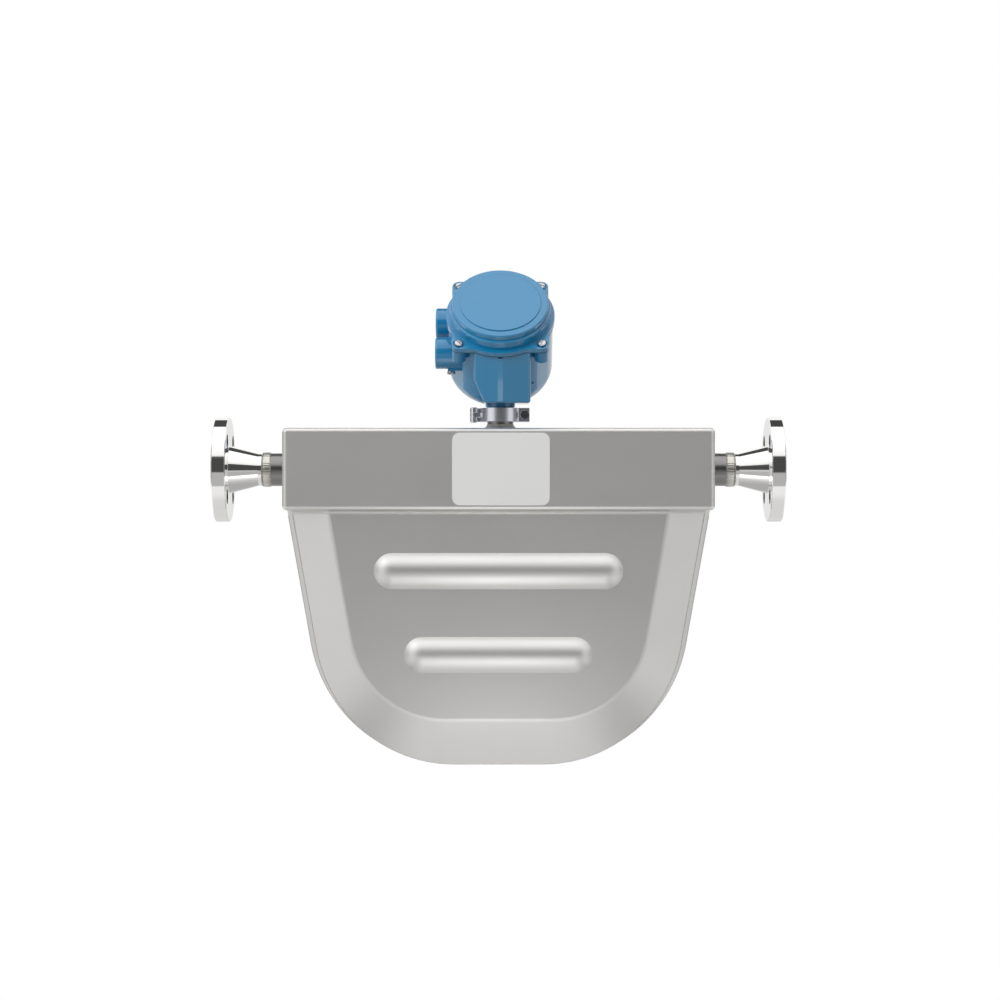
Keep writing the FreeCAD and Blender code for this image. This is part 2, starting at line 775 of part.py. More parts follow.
def make_tube(label, sign):
    """One U-shaped flow tube, swept along straight legs and tangent bends."""
    body = new_body(label, x=middle, y=sign * sizes.tube_spacing / 2)
    top = mouth_drop - (socket_length - sizes.tube_end_gap) / side_stretch
    bend = sizes.case_corner_radius - sizes.tube_inset
    top_half = case_half_width(top, sizes.tube_inset)
    low_half = case_half_width(tube_low, sizes.tube_inset)
    path = new_sketch(body, "path", "XZ_Plane")
    draw_outline(path, [
        (-top_half, -top), (-low_half, -tube_low, bend), (low_half, -tube_low, bend),
        (top_half, -top),
    ], closed=False)
    doc.recompute()
    ring = body.newObject("Sketcher::SketchObject", label + "_section")
    ring.AttachmentSupport = [(path, "Edge1")]
    ring.MapMode = "NormalToEdge"
    draw_circle(ring, ZERO, ZERO, tube_radius)
    draw_circle(ring, ZERO, ZERO, tube_radius - sizes.tube_wall)
    sweep = body.newObject("PartDesign::AdditivePipe", label + "_sweep")
    sweep.Profile = ring
    sweep.Spine = path
    doc.recompute()
    return body


def make_brace(label, drop, sign):
    """A plate that ties both tubes together and sets where they start to bend."""
    body = new_body(label, x=middle + sign * case_half_width(drop, sizes.tube_inset), z=-drop,
                    axis=(0, 1, 0), angle=sign * side_angle)
    plate = new_sketch(body, "plate", "XY_Plane", offset=-sizes.brace_thickness / 2)
    draw_outline(plate, rectangle(
        sizes.brace_width, sizes.brace_length, radius=sizes.brace_round))
    for side in (-1, 1):
        draw_circle(plate, ZERO, side * sizes.tube_spacing / 2, tube_radius + sizes.tube_clearance)
    pad(body, plate, sizes.brace_thickness)
    return body


def make_saddle(label, x, drop, sign, lean):
    """A block that clasps a tube and faces the other one, which the coil or magnet joins."""
    body = new_body(label, x=x, y=sign * sizes.tube_spacing / 2, z=-drop,
                    axis=(1, 0, 0), angle=sign * quarter_turn)
    turn = lean * -sign
    start = tube_radius - sizes.saddle_thickness
    block = new_sketch(body, "block", "XY_Plane", offset=start, axis=(0, 0, 1), angle=turn)
    draw_outline(block, rectangle(sizes.saddle_width, sizes.saddle_width))
    pad(body, block, sizes.saddle_thickness * 2)
    seat = new_sketch(body, "seat", "YZ_Plane", axis=(0, 1, 0), angle=turn)
    draw_circle(seat, ZERO, ZERO, tube_radius)
    cut(body, seat, sizes.saddle_width * 2, symmetric=True)
    return body


def make_coil(label, x, drop, lean=ZERO):
    """The coil on the front tube."""
    body = make_saddle(label, x, drop, -1, lean)
    floor = tube_radius + sizes.saddle_thickness
    bobbin = new_sketch(body, "bobbin", "XY_Plane", offset=floor)
    draw_circle(bobbin, ZERO, ZERO, sizes.coil_diameter / 2)
    draw_circle(bobbin, ZERO, ZERO, sizes.coil_bore / 2)
    pad(body, bobbin, sizes.coil_length)
    return body


def make_magnet(label, x, drop, lean=ZERO):
    """The magnet on the back tube, which reaches into the coil's bore."""
    body = make_saddle(label, x, drop, 1, lean)
    floor = tube_radius + sizes.saddle_thickness
    rod = new_sketch(body, "rod", "XY_Plane", offset=floor)
    draw_circle(rod, ZERO, ZERO, sizes.magnet_diameter / 2)
    pad(body, rod, sizes.magnet_length)
    return body


def make_probe():
    """The temperature sensor on the inlet splitter."""
    probe = doc.addObject("Part::Cylinder", "temperature_probe")
    probe.Label = "temperature_probe"
    probe.Placement.Rotation = FreeCAD.Rotation(FreeCAD.Vector(0, 1, 0), 90)
    bind(probe, "Radius", sizes.probe_diameter / 2)
    bind(probe, "Height", sizes.probe_length)
    bind(probe, "Placement.Base.x",
         middle - case_half_width(ZERO, sizes.tube_inset) - sizes.probe_length / 2)
    bind(probe, "Placement.Base.z", (sizes.splitter_height + sizes.probe_diameter) / 2)
    return probe


# Neck and clamp


def make_neck():
    """The neck tube welded to the box, flared at its foot and rimmed for the clamp."""
    body = new_body("neck_tube", x=neck_x)
    outer = sizes.neck_diameter / 2
    profile = new_sketch(body, "profile", "XZ_Plane")
    draw_outline(profile, [
        (sizes.neck_bore / 2, box_top),
        (outer + sizes.neck_flare, box_top),
        (outer, box_top + sizes.neck_flare, sizes.neck_flare),
        (outer, rim_bottom),
        (sizes.rim_diameter / 2, rim_bottom),
        (sizes.rim_diameter / 2, seal_bottom),
        (sizes.neck_bore / 2, seal_bottom),
    ])
    spin(body, profile, "V_Axis")
    return body


def make_ring(label, bottom, thickness, outer, inner=None):
    """A plain disc or ring about the neck."""
    body = new_body(label, x=neck_x)
    face = new_sketch(body, "face", "XY_Plane", offset=bottom)
    draw_circle(face, ZERO, ZERO, outer)
    if inner:
        draw_circle(face, ZERO, ZERO, inner)
    pad(body, face, thickness)
    return body


def make_clamp_half(label, sign):
    """Half of the ring that draws both neck rims together, with its lug and knuckles."""
    body = new_body(label, x=neck_x)
    outer = sizes.clamp_diameter / 2
    groove = sizes.rim_diameter / 2 + sizes.clamp_clearance
    profile = new_sketch(body, "profile", "XZ_Plane")
    draw_outline(profile, [
        (sizes.neck_diameter / 2 + sizes.clamp_clearance, clamp_floor),
        (outer, clamp_floor),
        (outer, clamp_roof),
        (sizes.collar_diameter / 2 + sizes.clamp_clearance, clamp_roof),
        (sizes.collar_diameter / 2 + sizes.clamp_clearance, head_rim_top + sizes.running_gap),
        (groove, head_rim_top + sizes.running_gap),
        (groove, rim_bottom),
        (sizes.neck_diameter / 2 + sizes.clamp_clearance, rim_bottom),
    ])
    spin(body, profile, "V_Axis")
    inner = groove + sizes.edge_margin
    lug = new_sketch(body, "lug", "XY_Plane", offset=clamp_floor)
    draw_outline(lug, rectangle(
        sizes.lug_reach - inner, sizes.lug_depth, x=(sizes.lug_reach + inner) / 2,
        y=sign * sizes.lug_depth / 2))
    pad(body, lug, sizes.clamp_height)
    away = new_sketch(body, "split", "XY_Plane", offset=clamp_floor)
    draw_outline(away, rectangle(
        sizes.hinge_reach * 3, sizes.hinge_reach * 2,
        y=-sign * (sizes.hinge_reach - sizes.clamp_gap)))
    cut(body, away, sizes.clamp_height, backwards=True)
    third = sizes.clamp_height / 3
    knuckles = (1,) if sign < 0 else (0, 2)
    for number in knuckles:
        make_knuckle(body, number, third, sign)
    pin = new_sketch(body, "pin_hole", "XY_Plane", offset=clamp_floor)
    draw_circle(pin, hinge_x, ZERO, sizes.hinge_pin_diameter / 2 + sizes.fit)
    cut(body, pin, sizes.clamp_height, backwards=True)
    hole = new_sketch(body, "screw_hole", "XZ_Plane")
    slack = sizes.clamp_gap if sign < 0 else sizes.fit
    draw_circle(hole, screw_x, screw_z, sizes.clamp_screw_diameter / 2 + slack)
    cut(body, hole, sizes.lug_depth, backwards=sign < 0)
    if sign < 0:
        sink = new_sketch(body, "counterbore", "XZ_Plane", offset=sizes.lug_depth)
        draw_circle(sink, screw_x, screw_z, sizes.clamp_screw_head / 2 + sizes.clamp_gap)
        cut(body, sink, sizes.clamp_screw_head_height)
    return body


def make_knuckle(body, number, third, sign):
    """One hinge knuckle and the arm that joins it to its half of the ring."""
    start = clamp_floor + number * third + sizes.running_gap
    barrel = sizes.hinge_barrel_diameter / 2
    arm_end = sizes.rim_diameter / 2 + sizes.clamp_clearance + sizes.edge_margin
    arm_depth = barrel - sizes.clamp_gap
    arm = new_sketch(body, "arm_%d" % number, "XY_Plane", offset=start)
    draw_outline(arm, rectangle(
        -hinge_x - arm_end, arm_depth, x=(hinge_x - arm_end) / 2,
        y=sign * (barrel + sizes.clamp_gap) / 2))
    pad(body, arm, third - sizes.running_gap * 2)
    knuckle = new_sketch(body, "knuckle_%d" % number, "XY_Plane", offset=start)
    draw_circle(knuckle, hinge_x, ZERO, barrel)
    pad(body, knuckle, third - sizes.running_gap * 2)


def make_clamp_screw():
    """The socket screw through both lugs."""
    body = new_body("clamp_screw", x=neck_x + screw_x, y=-sizes.lug_depth, z=screw_z,
                    axis=(1, 0, 0), angle=quarter_turn)
    head = new_sketch(body, "head", "XY_Plane")
    draw_circle(head, ZERO, ZERO, sizes.clamp_screw_head / 2)
    pad(body, head, sizes.clamp_screw_head_height, backwards=True)
    shank = new_sketch(body, "shank", "XY_Plane")
    draw_circle(shank, ZERO, ZERO, sizes.clamp_screw_diameter / 2)
    pad(body, shank, sizes.lug_depth * 2, backwards=True)
    socket = new_sketch(body, "socket", "XY_Plane")
    reach = sizes.key_socket_width / 2
    draw_outline(socket, [
        (reach * math.cos(math.radians(60 * i)), reach * math.sin(math.radians(60 * i)))
        for i in range(6)
    ])
    cut(body, socket, sizes.key_socket_depth)
    return body


def make_hinge_pin():
    body = new_body("clamp_hinge_pin", x=neck_x + hinge_x)
    shank = new_sketch(body, "shank", "XY_Plane", offset=clamp_floor - sizes.pin_head_height)
    draw_circle(shank, ZERO, ZERO, sizes.hinge_pin_diameter / 2)
    pad(body, shank, sizes.clamp_height + sizes.pin_head_height * 2)
    for name, start in (("foot", clamp_floor - sizes.pin_head_height), ("head", clamp_roof)):
        cap = new_sketch(body, name, "XY_Plane", offset=start)
        draw_circle(cap, ZERO, ZERO, sizes.pin_head_diameter / 2)
        pad(body, cap, sizes.pin_head_height)
    return body


# Head


def head_body(label):
    """A body in the head's leaning frame: its origin on the lid's seat, +Z out of the lid."""
    return new_body(label, x=neck_x, y=sizes.head_setback, z=sizes.head_height,
                    axis=(1, 0, 0), angle=sizes.head_tilt)


def upright_sketch(body, name, y, z, lean=ZERO):
    """A level sketch in a leaning body, its origin at (y, z) in the meter's own frame."""
    across = y - sizes.head_setback
    up = z - sizes.head_height
    along = across * cosine(sizes.head_tilt) + up * sine(sizes.head_tilt)
    out = up * cosine(sizes.head_tilt) - across * sine(sizes.head_tilt)
    return new_sketch(body, name, "XY_Plane", offset=out, shift=(ZERO, along),
                      axis=(1, 0, 0), angle=lean - sizes.head_tilt)


def prow_outline(reach):
    """The plan of the head's front block: a narrow nose between two swept faces."""
    left, right = -sizes.block_left, sizes.block_right
    nose = sizes.block_nose / 2
    back = sizes.neck_bore / 2
    return [
        (left, back), (left, -reach + sizes.block_prow), (-nose, -reach),
        (nose, -reach), (right, -reach + sizes.block_prow), (right, back),
    ]


def height_of(vertex):
    """The height above the pipe's axis of a point given in the head's leaning frame."""
    lean = math.radians(sizes.head_tilt.value)
    return sizes.head_height.value + vertex.Y * math.sin(lean) + vertex.Z * math.cos(lean)


def is_block_edge(edge):
    """Whether an edge is one of the block's seen ones: its upright corners or its foot."""
    behind = sizes.neck_bore.value / 2
    depths = []
    for vertex in edge.Vertexes:
        lean = math.radians(sizes.head_tilt.value)
        across = vertex.Y * math.cos(lean) - vertex.Z * math.sin(lean)
        depths.append(sizes.head_setback.value + across)
    levels = [height_of(vertex) for vertex in edge.Vertexes]
    roof = all(near(level, sizes.block_top_height.value) for level in levels)
    return not roof and not all(near(depth, behind) for depth in depths)


def make_block(body):
    """The block over the neck, its lower corner cut off on the conduit side."""
    low = upright_sketch(body, "block_bottom", ZERO, block_bottom)
    draw_outline(low, prow_outline(sizes.block_bottom_reach))
    high = upright_sketch(body, "block_top", ZERO, sizes.block_top_height)
    draw_outline(high, prow_outline(sizes.block_top_reach))
    loft(body, [low, high])
    corner = upright_sketch(body, "corner_trim", ZERO, block_bottom, lean=quarter_turn)
    outer = -(sizes.block_left + sizes.corner_run)
    draw_outline(corner, [
        (outer, -sizes.corner_rise),
        (sizes.corner_run * 2 - sizes.block_left, -sizes.corner_rise),
        (outer, sizes.corner_rise * 2),
    ])
    cut(body, corner, sizes.lid_diameter * 2, symmetric=True)
    round_edges(body, is_block_edge, sizes.block_round)


def ear_points():
    return [(x * ear_reach, y * ear_reach) for x in (-1, 1) for y in (-1, 1)]


def make_housing():
    """The cast head: a leaning bowl on a prowed block, with ears and conduit bosses."""
    body = head_body("head_housing")
    make_block(body)
    trim = new_sketch(body, "seat_trim", "XY_Plane")
    draw_outline(trim, rectangle(sizes.lid_diameter * 2, sizes.lid_diameter * 2))
    cut(body, trim, sizes.lid_diameter, backwards=True)
    bowl = new_sketch(body, "bowl", "XZ_Plane")
    draw_outline(bowl, [
        (ZERO, ZERO), (sizes.bowl_diameter / 2, ZERO),
        (sizes.bowl_diameter / 2, -sizes.bowl_depth, sizes.bowl_round),
        (ZERO, -sizes.bowl_depth),
    ])
    spin(body, bowl, "V_Axis")
    ears = new_sketch(body, "ear_bosses", "XY_Plane")
    for x, y in ear_points():
        draw_circle(ears, x, y, sizes.ear_boss_diameter / 2)
    pad(body, ears, sizes.ear_boss_length, backwards=True)
    for name, sign in (("lower", -1), ("upper", 1)):
        boss = new_sketch(body, name + "_conduit", "YZ_Plane", offset=-sizes.conduit_reach)
        draw_circle(boss, sign * sizes.conduit_spacing / 2, -sizes.conduit_depth,
                    sizes.conduit_diameter / 2)
        pad(body, boss, sizes.conduit_length)
    round_edges(body, lambda edge: flat_at(edge, "x", (-sizes.conduit_reach.value,)),
                sizes.conduit_round)
    collar = upright_sketch(body, "collar", ZERO, head_rim_bottom)
    draw_circle(collar, ZERO, ZERO, sizes.collar_diameter / 2)
    pad(body, collar, block_bottom + sizes.collar_overlap - head_rim_bottom)
    rim = upright_sketch(body, "rim", ZERO, head_rim_bottom)
    draw_circle(rim, ZERO, ZERO, sizes.rim_diameter / 2)
    pad(body, rim, sizes.rim_height)
    ledge = upright_sketch(body, "ground_ledge", ZERO, sizes.ground_height)
    draw_outline(ledge, rectangle(
        sizes.ledge_length, sizes.ledge_width, x=-ground_reach + sizes.ledge_shift,
        y=sizes.ground_setback))
    pad(body, ledge, sizes.ledge_height)
    groove = upright_sketch(body, "collar_groove", ZERO, clamp_roof)
    draw_circle(groove, ZERO, ZERO, sizes.collar_diameter / 2 + sizes.collar_groove_depth)
    draw_circle(groove, ZERO, ZERO, sizes.collar_diameter / 2 - sizes.collar_groove_depth)
    cut(body, groove, sizes.collar_groove_width, backwards=True)
    hollow_housing(body)
    return body


def hollow_housing(body):
    """The head's cavity and every hole into it."""
    cavity = new_sketch(body, "cavity", "XZ_Plane")
    draw_outline(cavity, [
        (ZERO, ZERO), (sizes.cavity_diameter / 2, ZERO),
        (sizes.cavity_diameter / 2, -sizes.cavity_depth, sizes.cavity_round),
        (ZERO, -sizes.cavity_depth),
    ])
    spin(body, cavity, "V_Axis", "Groove")
    groove = new_sketch(body, "gasket_groove", "XY_Plane")
    draw_circle(groove, ZERO, ZERO, (sizes.gasket_diameter + sizes.gasket_width) / 2)
    draw_circle(groove, ZERO, ZERO, (sizes.gasket_diameter - sizes.gasket_width) / 2)
    cut(body, groove, sizes.gasket_thickness)
    wire_way = upright_sketch(body, "wire_way", ZERO, head_rim_bottom)
    draw_circle(wire_way, ZERO, ZERO, sizes.neck_bore / 2)
    cut(body, wire_way, sizes.wire_way_length, backwards=True)
    for name, sign in (("lower", -1), ("upper", 1)):
        place = (sign * sizes.conduit_spacing / 2, -sizes.conduit_depth)
        thread = new_sketch(body, name + "_thread", "YZ_Plane", offset=-sizes.conduit_reach)
        draw_circle(thread, *place, sizes.conduit_bore / 2)
        cut(body, thread, sizes.conduit_thread_length, backwards=True)
        passage = new_sketch(body, name + "_passage", "YZ_Plane", offset=-sizes.conduit_reach)
        draw_circle(passage, *place, sizes.conduit_bore / 2 - sizes.thread_step)
        cut(body, passage, sizes.conduit_length, backwards=True)
    holes = new_sketch(body, "screw_holes", "XY_Plane")
    for x, y in ear_points():
        draw_circle(holes, x, y, sizes.screw_diameter / 2 + sizes.fit)
    cut(body, holes, sizes.screw_length - screw_seat + sizes.screw_end_gap)
    tapped = upright_sketch(body, "ground_hole", ZERO, sizes.ground_height)
    draw_circle(tapped, -ground_reach, sizes.ground_setback,
                sizes.screw_diameter / 2 + sizes.fit)
    cut(body, tapped, sizes.ground_screw_length, backwards=True)
    wall_front = sizes.bowl_diameter / 2
    vent = new_sketch(body, "vent", "XZ_Plane", offset=wall_front)
    draw_circle(vent, sizes.vent_shift, -sizes.vent_drop, sizes.vent_diameter / 2)
    inward = wall_front - root(wall_front * wall_front - sizes.vent_shift * sizes.vent_shift)
    cut(body, vent, inward + sizes.vent_depth)
    notch = new_sketch(body, "pry_notch", "XZ_Plane", offset=sizes.lid_diameter / 2)
    draw_outline(notch, rectangle(
        sizes.notch_width, sizes.notch_height, y=-sizes.notch_height / 2))
    cut(body, notch, sizes.notch_depth, symmetric=True)


def make_lid():
    """The round stepped lid with four screw ears."""
    body = head_body("head_lid")
    disc = new_sketch(body, "flange", "XY_Plane")
    draw_circle(disc, ZERO, ZERO, sizes.lid_diameter / 2)
    pad(body, disc, sizes.lid_flange)
    square = new_sketch(body, "ears", "XY_Plane")
    side = sizes.ear_spacing + sizes.ear_boss_diameter
    draw_outline(square, rectangle(side, side, radius=sizes.ear_boss_diameter / 2))
    pad(body, square, sizes.lid_flange)
    crown = new_sketch(body, "crown", "XZ_Plane")
    draw_outline(crown, [
        (ZERO, ZERO),
        (sizes.lid_wall_diameter / 2, ZERO),
        (sizes.lid_wall_diameter / 2, sizes.lid_ledge_height, sizes.lid_ledge_round),
        (sizes.lid_crown_diameter / 2, sizes.lid_ledge_height),
        (sizes.lid_crown_diameter / 2, sizes.lid_crown_height, sizes.lid_crown_round),
        (sizes.lid_disc_diameter / 2, sizes.lid_crown_height),
        (sizes.lid_disc_diameter / 2, lid_disc_top),
        (ZERO, lid_disc_top),
    ])
    spin(body, crown, "V_Axis")
    inside = new_sketch(body, "inside", "XY_Plane")
    draw_circle(inside, ZERO, ZERO, sizes.lid_inner_diameter / 2)
    cut(body, inside, lid_disc_top - sizes.lid_roof, backwards=True)
    holes = new_sketch(body, "screw_holes", "XY_Plane")
    for x, y in ear_points():
        draw_circle(holes, x, y, sizes.screw_diameter / 2 + sizes.clamp_gap)
    cut(body, holes, sizes.lid_flange, backwards=True)
    seats = new_sketch(body, "screw_seats", "XY_Plane", offset=sizes.lid_flange)
    for x, y in ear_points():
        draw_circle(seats, x, y, sizes.screw_seat_diameter / 2)
    cut(body, seats, sizes.screw_seat_depth)
    return body


def make_gasket():
    body = head_body("lid_gasket")
    ring = new_sketch(body, "ring", "XY_Plane")
    draw_circle(ring, ZERO, ZERO, (sizes.gasket_diameter + sizes.gasket_width) / 2)
    draw_circle(ring, ZERO, ZERO, (sizes.gasket_diameter - sizes.gasket_width) / 2)
    pad(body, ring, sizes.gasket_thickness, backwards=True)
    return body


def make_module():
    """The electronics, a potted puck on the floor of the head."""
    body = head_body("core_module")
    puck = new_sketch(body, "puck", "XY_Plane", offset=-sizes.cavity_depth)
    draw_circle(puck, ZERO, ZERO, sizes.module_diameter / 2)
    pad(body, puck, sizes.module_height)
    top = sizes.module_height - sizes.cavity_depth
    block = new_sketch(body, "terminals", "XY_Plane", offset=top)
    draw_outline(block, rectangle(sizes.terminal_length, sizes.terminal_width))
    pad(body, block, sizes.terminal_height)
    return body


def make_screw(body, length):
    """A slotted cheese-head screw in an empty body, its head's seat at the body's origin."""
    shank = new_sketch(body, "shank", "XY_Plane")
    draw_circle(shank, ZERO, ZERO, sizes.screw_diameter / 2)
    pad(body, shank, length, backwards=True)
    head = new_sketch(body, "head", "XY_Plane")
    draw_circle(head, ZERO, ZERO, sizes.screw_head / 2)
    pad(body, head, sizes.screw_head_height)
    slot = new_sketch(body, "slot", "XY_Plane", offset=sizes.screw_head_height)
    draw_outline(slot, rectangle(sizes.screw_head * 2, sizes.slot_width))
    cut(body, slot, sizes.slot_depth)
    return body


def make_lid_screws():
    """The lid's four screws, which are alike and share one sub-part."""
    screws = []
    lean_sine = sine(sizes.head_tilt)
    lean_cosine = cosine(sizes.head_tilt)
    for number, (x, y) in enumerate(ear_points(), start=1):
        body = new_body("lid_screw_%d" % number, x=neck_x + x,
                        y=sizes.head_setback + y * lean_cosine - screw_seat * lean_sine,
                        z=sizes.head_height + y * lean_sine + screw_seat * lean_cosine,
                        axis=(1, 0, 0), angle=sizes.head_tilt)
        screws.append(make_screw(body, sizes.screw_length))
    group = doc.addObject("Part::Compound", "lid_screws")
    group.Label = "lid_screws"
    group.Links = screws
    return group


def make_ground_screw():
    """The earthing screw, driven up into the ledge under the lower conduit boss."""
    body = new_body("ground_screw", x=neck_x - ground_reach, y=sizes.ground_setback,
                    z=sizes.ground_height, axis=(1, 0, 0), angle=half_turn)
    return make_screw(body, sizes.ground_screw_length)


parts = [
    make_flange("inlet_flange", ZERO, ZERO),
    make_flange("outlet_flange", sizes.face_to_face, half_turn),
    make_manifold("inlet_manifold", ZERO, ZERO),
    make_manifold("outlet_manifold", sizes.face_to_face, half_turn),
    make_upper_case(),
    make_case_half("front_case_half", ZERO),
    make_case_half("rear_case_half", half_turn),
    make_nameplate(),
    make_tube("front_flow_tube", -1),
    make_tube("rear_flow_tube", 1),
    make_brace("inlet_upper_brace", sizes.upper_brace_drop, -1),
    make_brace("inlet_lower_brace", sizes.lower_brace_drop, -1),
    make_brace("outlet_upper_brace", sizes.upper_brace_drop, 1),
    make_brace("outlet_lower_brace", sizes.lower_brace_drop, 1),
    make_coil("drive_coil", middle, tube_low),
    make_magnet("drive_magnet", middle, tube_low),
    make_coil("inlet_pickoff_coil", middle - pickoff_half, pickoff_level,
              quarter_turn - side_angle),
    make_magnet("inlet_pickoff_magnet", middle - pickoff_half, pickoff_level,
                quarter_turn - side_angle),
    make_coil("outlet_pickoff_coil", middle + pickoff_half, pickoff_level,
              quarter_turn + side_angle),
    make_magnet("outlet_pickoff_magnet", middle + pickoff_half, pickoff_level,
                quarter_turn + side_angle),
    make_probe(),
    make_neck(),
    make_ring("feedthrough", box_top, sizes.feedthrough_thickness,
              sizes.neck_bore / 2 - sizes.fit),
    make_ring("neck_seal", seal_bottom, sizes.seal_thickness, sizes.rim_diameter / 2,
              sizes.neck_bore / 2),
    make_clamp_half("clamp_front_half", -1),
    make_clamp_half("clamp_rear_half", 1),
    make_clamp_screw(),
    make_hinge_pin(),
    make_housing(),
    make_module(),
    make_gasket(),
    make_lid(),
    make_lid_screws(),
    make_ground_screw(),
]

doc.recompute()
for item in doc.Objects:
    if {"Invalid", "Error"} & set(item.State):
        raise ValueError("%s did not recompute" % item.Label)
for item in parts:
    if item.Shape.isNull() or not item.Shape.isValid():
        raise ValueError("%s has no valid shape" % item.Label)

os.makedirs("parts", exist_ok=True)
for item in parts:
    item.Shape.exportStep("parts/%s.step" % item.Label)
print("%d sub-parts written" % len(parts))
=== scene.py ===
import json
import logging
import math
from dataclasses import dataclass
from enum import Enum
from typing import Dict, List, Optional, Sequence, Tuple, Union

import bmesh
import bpy
from mathutils import Matrix, Vector


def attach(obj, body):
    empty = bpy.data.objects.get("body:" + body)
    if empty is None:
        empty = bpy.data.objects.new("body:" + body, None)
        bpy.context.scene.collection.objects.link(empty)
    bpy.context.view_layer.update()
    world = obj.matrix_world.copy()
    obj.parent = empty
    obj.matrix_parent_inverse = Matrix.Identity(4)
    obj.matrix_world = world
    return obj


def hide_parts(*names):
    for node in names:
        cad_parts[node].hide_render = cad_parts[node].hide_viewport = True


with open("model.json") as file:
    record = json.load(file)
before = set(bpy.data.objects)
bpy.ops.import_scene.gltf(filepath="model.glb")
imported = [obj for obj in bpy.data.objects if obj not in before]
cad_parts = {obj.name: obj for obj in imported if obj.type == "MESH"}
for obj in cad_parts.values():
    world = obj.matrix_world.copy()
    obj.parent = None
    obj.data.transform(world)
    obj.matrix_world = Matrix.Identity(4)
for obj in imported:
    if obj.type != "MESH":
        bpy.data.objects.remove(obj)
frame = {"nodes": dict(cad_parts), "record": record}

log = logging.getLogger("flow_meter")

Triple = Tuple[float, float, float]
Paint = Tuple[float, float, float, float]
Profile = Sequence[Tuple[float, float]]
Number = Union[float, "Wire"]

MM = 0.001
WHITE: Paint = (1.0, 1.0, 1.0, 1.0)
CAMERA_PLACE: Triple = (0.2955, -2.62, -0.0315)
# The neck's axis stands this many millimetres in from the inlet flange's face.
NECK_PLACE = 295.8
# Spun profiles stop this many millimetres short of their axis.
AXIS_GAP = 0.01


class Way(Enum):
    """Directions in the meter's own frame, or in the head's."""

    ALONG = (1.0, 0.0, 0.0)
    UP = (0.0, 0.0, 1.0)


class End(Enum):
    """The meter's two ends, each with its flange face and the way inwards."""

    INLET = (0.0, 1.0)
    OUTLET = (588.0, -1.0)

    def at(self, distance: float) -> float:
        """The place along the pipe, a distance in millimetres in from the flange's face."""
        return self.value[0] + self.value[1] * distance


def linear(red: int, green: int, blue: int) -> Paint:
    """A colour as the eye reads it, turned into light.

    Args:
        red: Red from 0 to 255.
        green: Green from 0 to 255.
        blue: Blue from 0 to 255.

    Returns:
        The linear colour with full alpha.
    """
    parts = [
        c / 12.92 if c <= 0.04045 else ((c + 0.055) / 1.055) ** 2.4
        for c in (red / 255, green / 255, blue / 255)
    ]
    return (parts[0], parts[1], parts[2], 1.0)


def grey(level: float) -> Paint:
    """A grey of a given amount of light."""
    return (level, level, level, 1.0)


class Wire:
    """A node's output that can be used in arithmetic."""

    def __init__(self, shader: "Shader", socket: bpy.types.NodeSocket) -> None:
        """Keep the socket and the shader it belongs to."""
        self.shader = shader
        self.socket = socket

    def __add__(self, other: Number) -> "Wire":
        """Sum."""
        return self.shader.maths("ADD", self, other)

    def __radd__(self, other: Number) -> "Wire":
        """Sum, from the right."""
        return self.shader.maths("ADD", other, self)

    def __sub__(self, other: Number) -> "Wire":
        """Difference."""
        return self.shader.maths("SUBTRACT", self, other)

    def __rsub__(self, other: Number) -> "Wire":
        """Difference, from the right."""
        return self.shader.maths("SUBTRACT", other, self)

    def __mul__(self, other: Number) -> "Wire":
        """Product."""
        return self.shader.maths("MULTIPLY", self, other)

    def __rmul__(self, other: Number) -> "Wire":
        """Product, from the right."""
        return self.shader.maths("MULTIPLY", other, self)

    def __truediv__(self, other: Number) -> "Wire":
        """Quotient."""
        return self.shader.maths("DIVIDE", self, other)

    def __rtruediv__(self, other: Number) -> "Wire":
        """Quotient, from the right."""
        return self.shader.maths("DIVIDE", other, self)


